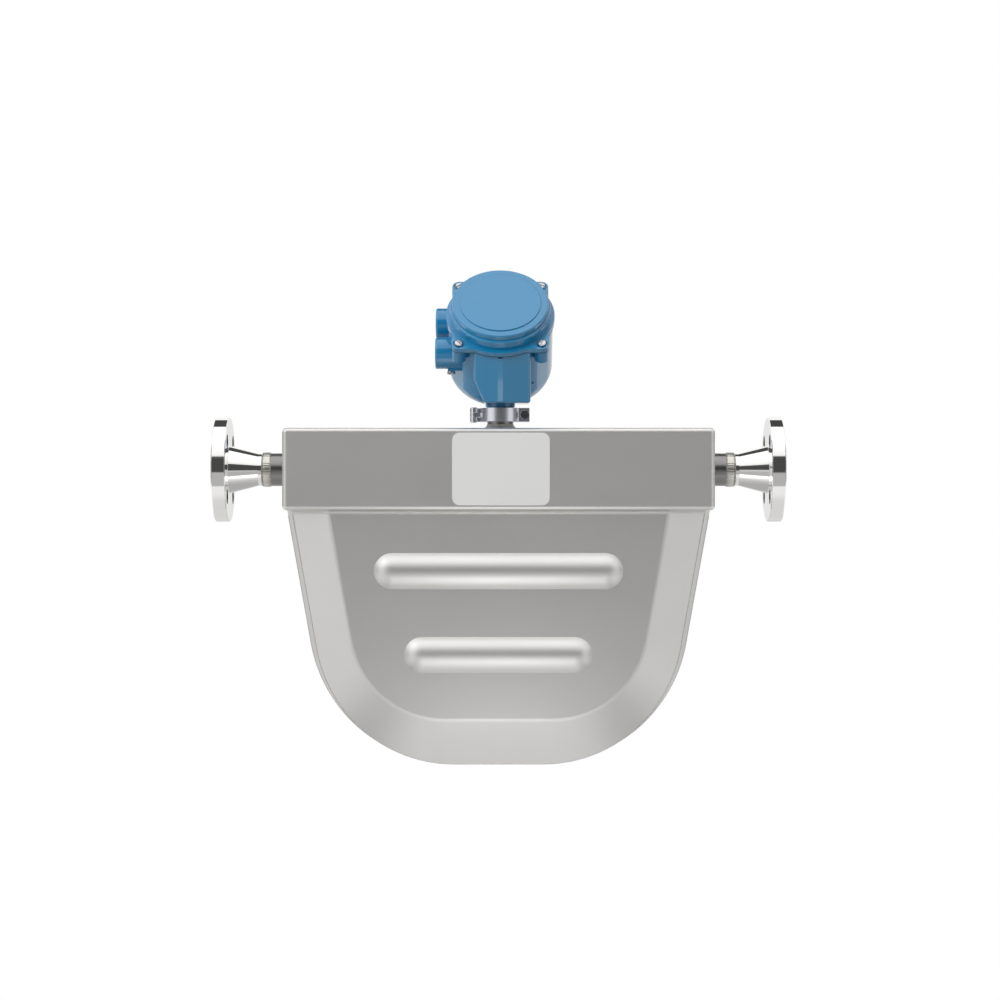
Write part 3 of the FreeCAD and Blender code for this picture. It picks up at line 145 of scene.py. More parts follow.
class Shader:
    """A node tree that is built by expressions."""

    def __init__(self, tree: bpy.types.NodeTree) -> None:
        """Start with an empty tree."""
        self.tree = tree
        tree.nodes.clear()

    def add(self, kind: str, settings: Optional[Dict] = None,
            inputs: Optional[Dict] = None) -> bpy.types.Node:
        """Add a node.

        Args:
            kind: The node's type.
            settings: Attributes of the node, or a ramp's stops under "stops".
            inputs: Values or wires for its sockets, by name or number.

        Returns:
            The node.
        """
        node = self.tree.nodes.new(kind)
        for name, value in (settings or {}).items():
            if name == "stops":
                self.set_stops(node, value)
            else:
                setattr(node, name, value)
        for name, value in (inputs or {}).items():
            socket = node.inputs[name]
            if isinstance(value, Wire):
                self.tree.links.new(value.socket, socket)
            else:
                socket.default_value = value
        return node

    @staticmethod
    def set_stops(node: bpy.types.Node, stops: Profile) -> None:
        """Give a ramp its stops.

        Args:
            node: The ramp.
            stops: Places from nought to one, each with its grey level.
        """
        elements = node.color_ramp.elements
        while len(elements) < len(stops):
            elements.new(0.5)
        for element, (place, level) in zip(elements, stops):
            element.position = place
            element.color = grey(level)

    def wire(self, node: bpy.types.Node, output: Union[int, str] = 0) -> Wire:
        """One of a node's outputs, by name or number."""
        return Wire(self, node.outputs[output])

    def end(self, node: bpy.types.Node, kind: str = "ShaderNodeOutputMaterial") -> None:
        """Send a node's first output out of the tree."""
        self.add(kind, None, {0: self.wire(node)})

    def maths(self, operation: str, first: Number, second: Number = 0.0) -> Wire:
        """The result of one Math node on one or two values."""
        return self.wire(self.add(
            "ShaderNodeMath", {"operation": operation}, {0: first, 1: second}))

    def place(self) -> Wire:
        """The point in the meter's own frame."""
        return self.wire(self.add("ShaderNodeTexCoord"), "Object")

    def ray(self, kind: str) -> Wire:
        """One for rays of a kind, else nought."""
        return self.wire(self.add("ShaderNodeLightPath"), f"Is {kind} Ray")

    def stretched(self, vector: Wire, scale: Triple) -> Wire:
        """A vector with each part scaled on its own."""
        return self.wire(self.add("ShaderNodeMapping", None, {"Vector": vector, "Scale": scale}))

    def split(self, vector: Wire) -> List[Wire]:
        """A vector's three parts."""
        node = self.add("ShaderNodeSeparateXYZ", None, {0: vector})
        return [self.wire(node, number) for number in range(3)]

    def noise(self, vector: Wire, scale: float, detail: float = 4.0,
              roughness: float = 0.55) -> Wire:
        """Soft noise from nought to one.

        Args:
            vector: Where it is read.
            scale: Its waves for each metre.
            detail: How many finer layers it has.
            roughness: How strong the finer layers are.

        Returns:
            The noise.
        """
        node = self.add("ShaderNodeTexNoise", None, {
            "Vector": vector, "Scale": scale, "Detail": detail, "Roughness": roughness})
        return self.wire(node, "Fac")

    def ramp(self, factor: Number, stops: Profile) -> Wire:
        """The grey level at a factor, on straight runs from stop to stop."""
        return self.wire(self.add("ShaderNodeValToRGB", {"stops": stops}, {0: factor}))

    def blend(self, factor: Number, first: Union[Paint, Wire],
              second: Union[Paint, Wire]) -> Wire:
        """The first colour where the factor is nought, the second where it is one."""
        node = self.add("ShaderNodeMix", {"data_type": "RGBA"}, {0: factor, 6: first, 7: second})
        return self.wire(node, 2)

    def bump(self, height: Wire, depth: float, strength: float, edge: float = 0.0007) -> Wire:
        """A normal that leans with a height and runs softly over deburred edges.

        Args:
            height: The height, from nought to one.
            depth: The height of one, in metres.
            strength: How strongly it leans.
            edge: The radius of the edges, in metres.

        Returns:
            The normal.
        """
        worn = self.add("ShaderNodeBevel", {"samples": 6}, {"Radius": edge})
        return self.wire(self.add("ShaderNodeBump", None, {
            "Height": height, "Distance": depth, "Strength": strength,
            "Normal": self.wire(worn)}))

    def surface(self, **inputs: object) -> None:
        """End the tree in a Principled shader, whose inputs have underscores for spaces."""
        named = {name.replace("_", " "): value for name, value in inputs.items()}
        self.end(self.add("ShaderNodeBsdfPrincipled", None, named))


def new_material(name: str) -> Tuple[bpy.types.Material, Shader]:
    """Make an empty material.

    Args:
        name: Its name.

    Returns:
        The material and the shader of its tree.
    """
    material = bpy.data.materials.new(name)
    material.use_nodes = True
    return material, Shader(material.node_tree)


@dataclass(frozen=True)
class TurnedSteel:
    """Stainless steel turned on a lathe and polished, with rings about the pipe.

    The ring rate is in radians for each metre. In this and the other finishes, scales are
    waves for each metre, and depths and the radius of the edges are in metres.
    """

    name: str = "turned_steel"
    colour: Paint = linear(232, 231, 229)
    roughness: float = 0.08
    ring_rate: float = 5200.0
    ring_depth: float = 0.0000012
    ring_strength: float = 0.35
    smear_scale: float = 60.0
    smear_stretch: Triple = (1.0, 3.0, 3.0)
    smear: float = 0.06
    edge: float = 0.0005

    def make(self) -> bpy.types.Material:
        """Build the finish.

        Returns:
            The material.
        """
        material, shader = new_material(self.name)
        point = shader.place()
        along, across, up = shader.split(point)
        radius = shader.maths("POWER", across * across + up * up, 0.5)
        rings = shader.maths("SINE", (radius + along) * self.ring_rate)
        smear = shader.noise(shader.stretched(point, self.smear_stretch), self.smear_scale)
        shader.surface(
            Base_Color=self.colour, Metallic=1.0,
            Roughness=smear * self.smear + (self.roughness - self.smear / 2),
            Normal=shader.bump(rings, self.ring_depth, self.ring_strength, self.edge))
        return material


@dataclass(frozen=True)
class SatinSheet:
    """Pressed or folded stainless sheet with a fine grain along the pipe."""

    name: str = "satin_sheet"
    colour: Paint = linear(227, 226, 224)
    cloud_colour: Paint = linear(219, 218, 215)
    cloud_strength: float = 0.6
    cloud_scale: float = 14.0
    cloud_stretch: Triple = (0.5, 1.0, 1.0)
    cloud_gloss: float = 0.06
    roughness: float = 0.465
    grain_scale: float = 2600.0
    grain_detail: float = 3.0
    grain_stretch: Triple = (0.02, 1.0, 1.0)
    grain_gloss: float = 0.10
    grain_depth: float = 0.00002
    grain_strength: float = 0.25
    edge: float = 0.0003

    def make(self) -> bpy.types.Material:
        """Build the finish.

        Returns:
            The material.
        """
        material, shader = new_material(self.name)
        point = shader.place()
        grain = shader.noise(shader.stretched(point, self.grain_stretch), self.grain_scale,
                             self.grain_detail)
        cloud = shader.noise(shader.stretched(point, self.cloud_stretch), self.cloud_scale)
        middle = (self.grain_gloss + self.cloud_gloss) / 2
        shader.surface(
            Base_Color=shader.blend(cloud * self.cloud_strength, self.colour, self.cloud_colour),
            Metallic=1.0,
            Roughness=(grain * self.grain_gloss + cloud * self.cloud_gloss
                       + (self.roughness - middle)),
            Normal=shader.bump(grain, self.grain_depth, self.grain_strength, self.edge))
        return material


@dataclass(frozen=True)
class RippledWeld:
    """Weld metal, slightly straw coloured, with a fine scale."""

    name: str = "weld_metal"
    colour: Paint = linear(212, 211, 206)
    tint: Paint = linear(196, 191, 180)
    roughness: float = 0.3
    cloud_scale: float = 130.0
    cloud_gloss: float = 0.14
    crust_scale: float = 900.0
    crust_detail: float = 3.0
    crust_depth: float = 0.00005
    crust_strength: float = 0.4

    def make(self) -> bpy.types.Material:
        """Build the finish.

        Returns:
            The material.
        """
        material, shader = new_material(self.name)
        point = shader.place()
        cloud = shader.noise(point, self.cloud_scale)
        crust = shader.noise(point, self.crust_scale, self.crust_detail)
        shader.surface(
            Base_Color=shader.blend(cloud, self.colour, self.tint), Metallic=1.0,
            Roughness=cloud * self.cloud_gloss + (self.roughness - self.cloud_gloss / 2),
            Normal=shader.bump(crust, self.crust_depth, self.crust_strength))
        return material


@dataclass(frozen=True)
class PlainSteel:
    """Steel with a faint mottle, for drawn and cast pieces, screws and inner pieces."""

    name: str
    colour: Paint
    roughness: float = 0.25
    mottle: float = 0.08
    relief: float = 0.00003
    relief_strength: float = 0.3
    scale: float = 220.0
    edge: float = 0.0004

    def make(self) -> bpy.types.Material:
        """Build the finish.

        Returns:
            The material.
        """
        material, shader = new_material(self.name)
        cloud = shader.noise(shader.place(), self.scale)
        shader.surface(
            Base_Color=self.colour, Metallic=1.0,
            Roughness=cloud * self.mottle + (self.roughness - self.mottle / 2),
            Normal=shader.bump(cloud, self.relief, self.relief_strength, self.edge))
        return material


@dataclass(frozen=True)
class BlueEnamel:
    """Glossy blue enamel on a casting, with a faint orange peel."""

    name: str = "blue_enamel"
    colour: Paint = linear(4, 122, 171)
    cloud_colour: Paint = linear(9, 127, 176)
    cloud_scale: float = 26.0
    cloud_gloss: float = 0.08
    roughness: float = 0.32
    coat_gloss: float = 1.52
    coat_roughness: float = 0.05
    peel_scale: float = 900.0
    peel_detail: float = 2.0
    peel_depth: float = 0.00002
    peel_strength: float = 0.5
    edge: float = 0.001

    def make(self) -> bpy.types.Material:
        """Build the finish.

        Returns:
            The material.
        """
        material, shader = new_material(self.name)
        point = shader.place()
        peel = shader.noise(point, self.peel_scale, self.peel_detail)
        cloud = shader.noise(point, self.cloud_scale)
        shader.surface(
            Base_Color=shader.blend(cloud, self.colour, self.cloud_colour),
            Roughness=cloud * self.cloud_gloss + (self.roughness - self.cloud_gloss / 2),
            Coat_Weight=1.0, Coat_IOR=self.coat_gloss, Coat_Roughness=self.coat_roughness,
            Normal=shader.bump(peel, self.peel_depth, self.peel_strength, self.edge))
        return material


@dataclass(frozen=True)
class BarePlate:
    """A thin pale plate with a fine brushed face and nothing on it."""

    name: str = "bare_plate"
    colour: Paint = linear(243, 243, 242)
    metallic: float = 0.2
    roughness: float = 0.42
    brush_scale: float = 3200.0
    brush_detail: float = 2.0
    brush_stretch: Triple = (1.0, 1.0, 0.03)
    brush_gloss: float = 0.08
    brush_depth: float = 0.00001
    brush_strength: float = 0.2
    cloud_scale: float = 30.0
    cloud_gloss: float = 0.06
    edge: float = 0.0004

    def make(self) -> bpy.types.Material:
        """Build the finish.

        Returns:
            The material.
        """
        material, shader = new_material(self.name)
        point = shader.place()
        brush = shader.noise(shader.stretched(point, self.brush_stretch), self.brush_scale,
                             self.brush_detail)
        cloud = shader.noise(point, self.cloud_scale)
        middle = (self.brush_gloss + self.cloud_gloss) / 2
        shader.surface(
            Base_Color=self.colour, Metallic=self.metallic,
            Roughness=(brush * self.brush_gloss + cloud * self.cloud_gloss
                       + (self.roughness - middle)),
            Normal=shader.bump(brush, self.brush_depth, self.brush_strength, self.edge))
        return material


@dataclass(frozen=True)
class Moulded:
    """Rubber, resin or plastic with a fine even texture."""

    name: str
    colour: Paint
    roughness: float = 0.55
    fine_scale: float = 1500.0
    fine_gloss: float = 0.1
    fine_depth: float = 0.00004
    fine_strength: float = 0.4

    def make(self) -> bpy.types.Material:
        """Build the finish.

        Returns:
            The material.
        """
        material, shader = new_material(self.name)
        fine = shader.noise(shader.place(), self.fine_scale)
        shader.surface(
            Base_Color=self.colour,
            Roughness=fine * self.fine_gloss + (self.roughness - self.fine_gloss / 2),
            Normal=shader.bump(fine, self.fine_depth, self.fine_strength))
        return material


class Finishes:
    """The weld metal and the finish of each slot, made once."""

    def __init__(self) -> None:
        """Build them all."""
        drawn = PlainSteel("drawn_steel", linear(140, 139, 138), 0.29, 0.04, 0.000008)
        clamp = PlainSteel("clamp_steel", linear(228, 230, 238), 0.26, 0.03, 0.000003)
        self.weld = RippledWeld().make()
        self.by_slot: Dict[str, bpy.types.Material] = {
            "polished_steel": TurnedSteel().make(),
            "case_steel": SatinSheet().make(),
            "weld_steel": drawn.make(),
            "plate_steel": BarePlate().make(),
            "clamp_steel": clamp.make(),
            "dark_screw": PlainSteel("dark_screw", linear(120, 120, 126), 0.35).make(),
            "screw_steel": PlainSteel("screw_steel", linear(196, 198, 200), 0.28).make(),
            "inner_steel": PlainSteel("inner_steel", linear(198, 198, 198), 0.3).make(),
            "blue_paint": BlueEnamel().make(),
            "seal_rubber": Moulded("seal_rubber", linear(30, 34, 40), 0.6).make(),
            "module_resin": Moulded("module_resin", linear(52, 52, 56), 0.5).make(),
            "coil_resin": Moulded("coil_resin", linear(150, 90, 52), 0.4).make(),
        }

    def dress(self, node: str, slot: str) -> None:
        """Give a CAD node the finish of its slot.

        Args:
            node: The node's name.
            slot: The name of its slot.
        """
        mesh = frame["nodes"][node].data
        mesh.materials.clear()
        mesh.materials.append(self.by_slot[slot])
        log.info("dressed %s", node)


@dataclass(frozen=True)
class Patch:
    """A soft-edged oval on the studio's walls.

    Its middle and half sizes are in degrees: turn is measured from the camera's side towards
    the right, lift from the horizon. A twin lies on both sides of the camera alike.
    """

    level: float
    turn: float
    lift: float
    half_turn: float
    half_lift: float
    soft: float = 0.12
    twin: bool = False

    def over(self, shader: Shader, light: Wire, turn: Wire, lift: Wire) -> Wire:
        """The light with this patch laid over it.

        Args:
            shader: The world's shader.
            light: What is there so far.
            turn: Degrees to the right of the camera's side.
            lift: Degrees above the horizon.

        Returns:
            The light inside and outside the patch.
        """
        if self.twin:
            turn = shader.maths("ABSOLUTE", turn)
        across = (turn - self.turn) / self.half_turn
        upward = (lift - self.lift) / self.half_lift
        distance = (across * across + upward * upward) * 0.5
        inside = shader.ramp(distance, [(0.5 - self.soft, 1.0), (0.5 + self.soft, 0.0)])
        return shader.blend(inside, light, grey(self.level))


@dataclass(frozen=True)
class Table:
    """The white table under the meter, which only its reflections and its light show; it is no
    lamp but glows with painted light.

    Places and sizes are in metres. The stops give levels of painted light: the near ones run from
    the pipe towards the camera, darker near the pipe as a painted shadow of the meter, and the
    side ones from the camera's middle outwards, darker in a band to each side as painted shade,
    each over the reach. The painted glow, a pool of light, lies in front of the meter's middle.
    """

    corner: Triple = (-0.35, -0.46, -0.336)
    size: Tuple[float, float] = (1.3, 1.0)
    middle: float = CAMERA_PLACE[0]
    reach: float = 0.5
    # Levels of painted light on a glowing card: painted shadow near the pipe, painted shade in a
    # band to each side, a painted pool of light in front.
    painted_near_stops: Profile = ((0.0, 0.80), (0.26, 0.82), (0.50, 1.0), (0.92, 1.02))
    painted_side_stops: Profile = ((0.22, 1.0), (0.36, 0.62), (0.46, 0.62), (0.56, 1.0))
    painted_glow_near_stops: Profile = ((0.24, 0.0), (0.50, 1.0))
    painted_glow_side_stops: Profile = ((0.08, 1.0), (0.24, 0.0))
    painted_glow: float = 1.15
    plain_level: float = 0.36
    tooth_scale: float = 40.0
    tooth: float = 0.06

    def build(self) -> None:
        """Lay the table."""
        shape = bmesh.new()
        bmesh.ops.create_grid(shape, x_segments=1, y_segments=1, size=0.5)
        bmesh.ops.scale(shape, verts=shape.verts, vec=(*self.size, 1.0))
        bmesh.ops.translate(shape, verts=shape.verts, vec=(
            self.corner[0] + self.size[0] / 2, self.corner[1] + self.size[1] / 2,
            self.corner[2]))
        finish_piece(shape, "table", self.painted_paper())

    def painted_paper(self) -> bpy.types.Material:
        """White paper with a faint tooth that glows: reflections see its stops of painted light
        and shade, other light one level.

        Returns:
            The material.
        """
        material, shader = new_material("table_painted_paper")
        x, y, _ = shader.split(shader.place())
        grain = shader.noise(shader.place(), self.tooth_scale)
        near = y / -self.reach
        side = shader.maths("ABSOLUTE", x - self.middle) / self.reach
        # Painted light and shade on the table: darker near the pipe and in a band to each side.
        sheet = shader.ramp(near, self.painted_near_stops) * shader.ramp(side, self.painted_side_stops)
        # A painted pool of light in front of the meter's middle.
        spot = shader.ramp(near, self.painted_glow_near_stops) * shader.ramp(side, self.painted_glow_side_stops)
        level = shader.blend(shader.ray("Glossy"), grey(self.plain_level),
                             sheet + spot * self.painted_glow)
        lit = shader.add("ShaderNodeEmission", None, {
            "Color": level, "Strength": grain * self.tooth + (1.0 - self.tooth / 2)})
        clear = shader.add("ShaderNodeBsdfTransparent")
        shader.end(shader.add("ShaderNodeMixShader", None, {
            0: shader.ray("Camera"), 1: shader.wire(lit), 2: shader.wire(clear)}))
        return material


@dataclass(frozen=True)
class Studio:
    """The tent, the table, the lamp and the camera.

    The stops give the light's level from straight below to straight above, and the side fall
    the share that it loses towards the right. Places and sizes are in metres, the power in
    watts and the lens and the sensor in millimetres.
    """

    tent_stops: Profile = (
        (0.0, 0.64), (0.18, 0.74), (0.44, 0.74), (0.50, 0.85), (0.77, 1.15), (1.0, 1.5))
    patches: Tuple[Patch, ...] = (
        Patch(1.35, 104.0, -48.0, 58.0, 34.0, 0.3, True),
        Patch(2.2, -62.0, 42.0, 20.0, 16.0, 0.2),
        Patch(0.53, 0.0, -22.0, 34.0, 17.0),
        Patch(0.075, 5.0, 10.8, 43.0, 18.2, 0.05),
        Patch(0.07, 180.0, 54.4, 85.0, 16.6, 0.05, True),
        Patch(0.13, 105.0, 4.0, 28.0, 17.0, 0.12, True),
    )
    dome_stops: Profile = ((0.0, 0.30), (0.5, 0.58), (1.0, 0.95))
    dome_patch: Patch = Patch(0.42, 0.0, 6.0, 52.0, 30.0, 0.3)
    side_fall: float = 0.04
    lamp_place: Triple = (-1.25, -1.65, 1.25)
    lamp_target: Triple = (0.29, 0.0, 0.1)
    lamp_size: float = 1.4
    lamp_power: float = 34.0
    lens: float = 91.0
    sensor: float = 36.0

    def build(self) -> None:
        """Set up the studio."""
        self.build_world()
        Table().build()
        self.build_lamp()
        self.build_camera()
        bpy.context.scene.view_settings.view_transform = "Standard"

    def build_world(self) -> None:
        """A white tent with dark gaps for reflections, and a plain dome for all other light."""
        world = bpy.data.worlds.new("studio")
        bpy.context.scene.world = world
        world.use_nodes = True
        shader = Shader(world.node_tree)
        x, y, z = shader.split(shader.wire(shader.add("ShaderNodeTexCoord"), "Generated"))
        height = z * 0.5 + 0.5
        lift = shader.maths("DEGREES", shader.maths("ARCSINE", z))
        turn = shader.maths("DEGREES", shader.maths("ARCTAN2", x, y * -1.0))
        tent = shader.ramp(height, self.tent_stops)
        for patch in self.patches:
            tent = patch.over(shader, tent, turn, lift)
        dome = self.dome_patch.over(shader, shader.ramp(height, self.dome_stops), turn, lift)
        light = shader.blend(shader.ray("Glossy"), dome, tent)
        seen = shader.maths("MAXIMUM", shader.ray("Camera"), shader.ray("Transmission"))
        shader.end(shader.add("ShaderNodeBackground", None, {
            "Color": shader.blend(seen, light, WHITE),
            "Strength": shader.blend(seen, x * -self.side_fall + 1.0, WHITE),
        }), "ShaderNodeOutputWorld")

    def build_lamp(self) -> None:
        """A broad soft lamp above the camera's left, which reflections don't show."""
        data = bpy.data.lights.new("key", "AREA")
        data.size = self.lamp_size
        data.energy = self.lamp_power
        lamp = bpy.data.objects.new("key", data)
        bpy.context.scene.collection.objects.link(lamp)
        lamp.location = self.lamp_place
        aim = Vector(self.lamp_target) - Vector(self.lamp_place)
        lamp.rotation_euler = aim.to_track_quat("-Z", "Y").to_euler()
        lamp.visible_glossy = False

    def build_camera(self) -> None:
        """The camera, level and square to the meter."""
        data = bpy.data.cameras.new("camera")
        data.lens = self.lens
        data.sensor_width = self.sensor
        camera = bpy.data.objects.new("camera", data)
        bpy.context.scene.collection.objects.link(camera)
        camera.location = CAMERA_PLACE
        camera.rotation_euler = (math.pi / 2, 0.0, 0.0)
        bpy.context.scene.camera = camera


def finish_piece(shape: bmesh.types.BMesh, name: str, material: bpy.types.Material,
                 sharp: float = 35.0) -> bpy.types.Object:
    """Turn a bmesh into a smooth-shaded object.

    Args:
        shape: The shape, which is freed.
        name: The object's name.
        material: Its finish.
        sharp: The angle in degrees past which an edge stays crisp.

    Returns:
        The object, at the origin.
    """
    bmesh.ops.recalc_face_normals(shape, faces=shape.faces)
    mesh = bpy.data.meshes.new(name)
    for face in shape.faces:
        face.smooth = True
    for edge in shape.edges:
        if len(edge.link_faces) == 2 and edge.calc_face_angle(0.0) > math.radians(sharp):
            edge.smooth = False
    shape.to_mesh(mesh)
    shape.free()
    mesh.materials.append(material)
    piece = bpy.data.objects.new(name, mesh)
    bpy.context.scene.collection.objects.link(piece)
    log.info("made %s with %d faces", name, len(mesh.polygons))
    return piece


def turned(shape: bmesh.types.BMesh, profile: Profile, way: Way,
           centre: Triple = (0.0, 0.0, 0.0), steps: int = 96, rise: float = 0.0,
           turns: float = 1.0, closed: bool = True) -> List[bmesh.types.BMVert]:
    """Spin a profile about an axis.

    Args:
        shape: The bmesh that takes the result.
        profile: Points, each a place along the axis and a radius, in millimetres.
        way: The axis.
        centre: A point on the axis, in millimetres.
        steps: Steps for each turn.
        rise: Millimetres that each turn moves along the axis.
        turns: How many turns.
        closed: Whether the profile closes on itself.

    Returns:
        The new vertices.
    """
    axis = Vector(way.value)
    out = Vector(Way.UP.value) if way is Way.ALONG else Vector(Way.ALONG.value)
    before = set(shape.verts)
    points = [shape.verts.new((Vector(centre) + axis * a + out * r) * MM) for a, r in profile]
    pairs = list(zip(points, points[1:]))
    if closed:
        pairs.append((points[-1], points[0]))
    edges = [shape.edges.new(pair) for pair in pairs]
    bmesh.ops.spin(
        shape, geom=points + edges, cent=Vector(centre) * MM, axis=axis,
        dvec=axis * (rise / steps * MM), angle=math.tau * turns,
        steps=round(steps * turns), use_merge=rise == 0.0)
    return [vert for vert in shape.verts if vert not in before]


@dataclass
class RingWeld:
    """A weld run round a pipe, crowned and rippled.

    Fields are in millimetres, the crease in degrees. The profile's points are places along
    the axis with radii, and what lies within the foot's radius isn't rippled.
    """

    name: str
    profile: Profile
    way: Way
    centre: Triple = (0.0, 0.0, 0.0)
    ripples: int = 44
    depth: float = 0.12
    foot: float = 16.6
    steps_each: int = 6
    drift: float = 0.4
    drift_waves: float = 17.0
    crease: float = 60.0

    def build(self, material: bpy.types.Material) -> bpy.types.Object:
        """Make the ring and ripple its crown.

        Args:
            material: Its finish.

        Returns:
            The ring.
        """
        shape = bmesh.new()
        turned(shape, self.profile, self.way, self.centre, steps=self.ripples * self.steps_each)
        axis = Vector(self.way.value)
        middle = Vector(self.centre) * MM
        for vert in shape.verts:
            arm = vert.co - middle
            arm -= axis * arm.dot(axis)
            if arm.length < self.foot * MM:
                continue
            first, second = (arm.y, arm.z) if self.way is Way.ALONG else (arm.x, arm.y)
            angle = math.atan2(second, first)
            wave = math.sin(angle * self.ripples) + self.drift * math.sin(angle * self.drift_waves)
            vert.co += arm.normalized() * (wave * self.depth * MM * 0.5)
        piece = finish_piece(shape, self.name, material, self.crease)
        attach(piece, "sensor")
        return piece


@dataclass
class PipeWelds:
    """The welds of one end: flange hub to stub, and stub to box.

    The profiles are in millimetres, measured in from the flange's face.
    """

    end: End
    butt: Profile = (
        (49.45, 16.3), (49.6, 16.9), (50.3, 17.45), (51.4, 17.75), (53.2, 17.86), (55.0, 17.9),
        (56.8, 17.84), (58.1, 17.66), (58.9, 17.3), (59.4, 16.8), (59.2, 16.3))
    butt_ripple: float = 0.16
    fillet: Profile = (
        (71.7, 16.8), (72.1, 17.25), (72.7, 17.5), (73.1, 17.95), (73.4, 18.7), (73.6, 18.9),
        (73.7, 16.8))
    fillet_ripple: float = 0.1

    def build(self, material: bpy.types.Material) -> None:
        """Make both welds.

        Args:
            material: Their finish.
        """
        word = self.end.name.lower()
        for kind, profile, depth in (("butt", self.butt, self.butt_ripple),
                                     ("fillet", self.fillet, self.fillet_ripple)):
            placed = [(self.end.at(along), radius) for along, radius in profile]
            RingWeld(f"{word}_{kind}_weld", placed, Way.ALONG, depth=depth).build(material)


@dataclass
class NeckWeld:
    """The flared weld round the neck's foot.

    Fields are in millimetres. The profile's places are heights above the pipe's centre line.
    """

    neck: float = NECK_PLACE
    profile: Profile = (
        (41.9, 12.8), (41.9, 17.5), (42.3, 17.4), (42.9, 16.8), (43.6, 16.1), (44.4, 15.3),
        (45.3, 14.6), (46.2, 14.1), (46.9, 13.6), (47.1, 13.2), (46.9, 12.8))
    ripples: int = 40
    ripple: float = 0.1
    foot: float = 13.4

    def build(self, material: bpy.types.Material) -> None:
        """Make the weld."""
        RingWeld("neck_weld", self.profile, Way.UP, (self.neck, 0.0, 0.0), self.ripples,
                 self.ripple, self.foot).build(material)


@dataclass
class SeamWeld:
    """The weld where the case's halves meet, all round its open side.

    Fields are in millimetres, the crease in degrees. The section's points are places across
    the seam with heights, and the ripple turns by so many radians at each step.
    """

    top_width: float = 438.0
    bottom_width: float = 344.2
    top: float = -47.5
    case_top: float = -42.0
    bottom: float = -304.0
    radius: float = 150.0
    middle: float = 294.0
    section: Profile = (
        (-1.7, -0.4), (-1.5, 0.02), (-1.0, 0.22), (-0.4, 0.32), (0.4, 0.32), (1.0, 0.22),
        (1.5, 0.02), (1.7, -0.4))
    step: float = 1.1
    ripple: float = 0.07
    ripple_turn: float = 1.9
    crease: float = 60.0

    def path(self) -> List[Tuple[Vector, Vector]]:
        """The run round the case, from the inlet's side to the outlet's.

        Returns:
            Points about the case's middle, each with the way outwards.
        """
        slope = (self.top_width - self.bottom_width) / 2 / (self.case_top - self.bottom)
        lean = math.atan(slope)
        bend = math.pi / 2 - lean
        tangent = self.radius * math.tan(bend / 2)
        centre = Vector((self.bottom_width / 2 - tangent, 0.0, self.bottom + self.radius))
        start = self.top_width / 2 - (self.case_top - self.top) * slope
        side_out = Vector((math.cos(lean), 0.0, -math.sin(lean)))
        side_start = Vector((start, 0.0, self.top))
        side_end = centre + side_out * self.radius
        half: List[Tuple[Vector, Vector]] = []
        count = round((side_end - side_start).length / self.step)
        for i in range(count):
            half.append((side_start.lerp(side_end, i / count), side_out))
        count = round(self.radius * bend / self.step)
        for i in range(count):
            angle = -lean - bend * i / count
            out = Vector((math.cos(angle), 0.0, math.sin(angle)))
            half.append((centre + out * self.radius, out))
        down = Vector((0.0, 0.0, -1.0))
        count = max(2, round(centre.x / self.step))
        for i in range(count + 1):
            half.append((Vector((centre.x * (1 - i / count), 0.0, self.bottom)), down))
        other = [(Vector((-p.x, 0.0, p.z)), Vector((-n.x, 0.0, n.z))) for p, n in half[-2::-1]]
        return half + other

    def build(self, material: bpy.types.Material) -> bpy.types.Object:
        """Sweep the section along the path.

        Args:
            material: Its finish.

        Returns:
            The weld.
        """
        shape = bmesh.new()
        stations = self.path()
        verts = [shape.verts.new() for _ in self.section]
        edges = [shape.edges.new(pair) for pair in zip(verts, verts[1:])]
        self.place(verts, stations[0], 0)
        for number, station in enumerate(stations[1:], start=1):
            made = bmesh.ops.extrude_edge_only(shape, edges=edges)["geom"]
            fresh = [item for item in made if isinstance(item, bmesh.types.BMVert)]
            fresh.sort(key=lambda vert: vert.co.y)
            edges = [item for item in made if isinstance(item, bmesh.types.BMEdge)
                     and all(vert in fresh for vert in item.verts)]
            self.place(fresh, station, number)
        piece = finish_piece(shape, "seam_weld", material, self.crease)
        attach(piece, "sensor")
        return piece

    def place(self, verts: Sequence[bmesh.types.BMVert], station: Tuple[Vector, Vector],
              number: int) -> None:
        """Put a section's vertices at a station, with the run's ripple.

        Args:
            verts: The vertices, from the rear half to the front.
            station: The point and the way outwards.
            number: The station's number, which sets the ripple.
        """
        point, out = station
        wave = math.sin(number * self.ripple_turn) * self.ripple
        for vert, (across, height) in zip(verts, self.section):
            spot = point + out * (height + (wave if height > 0 else 0.0))
            vert.co = Vector((spot.x + self.middle, across, spot.z)) * MM


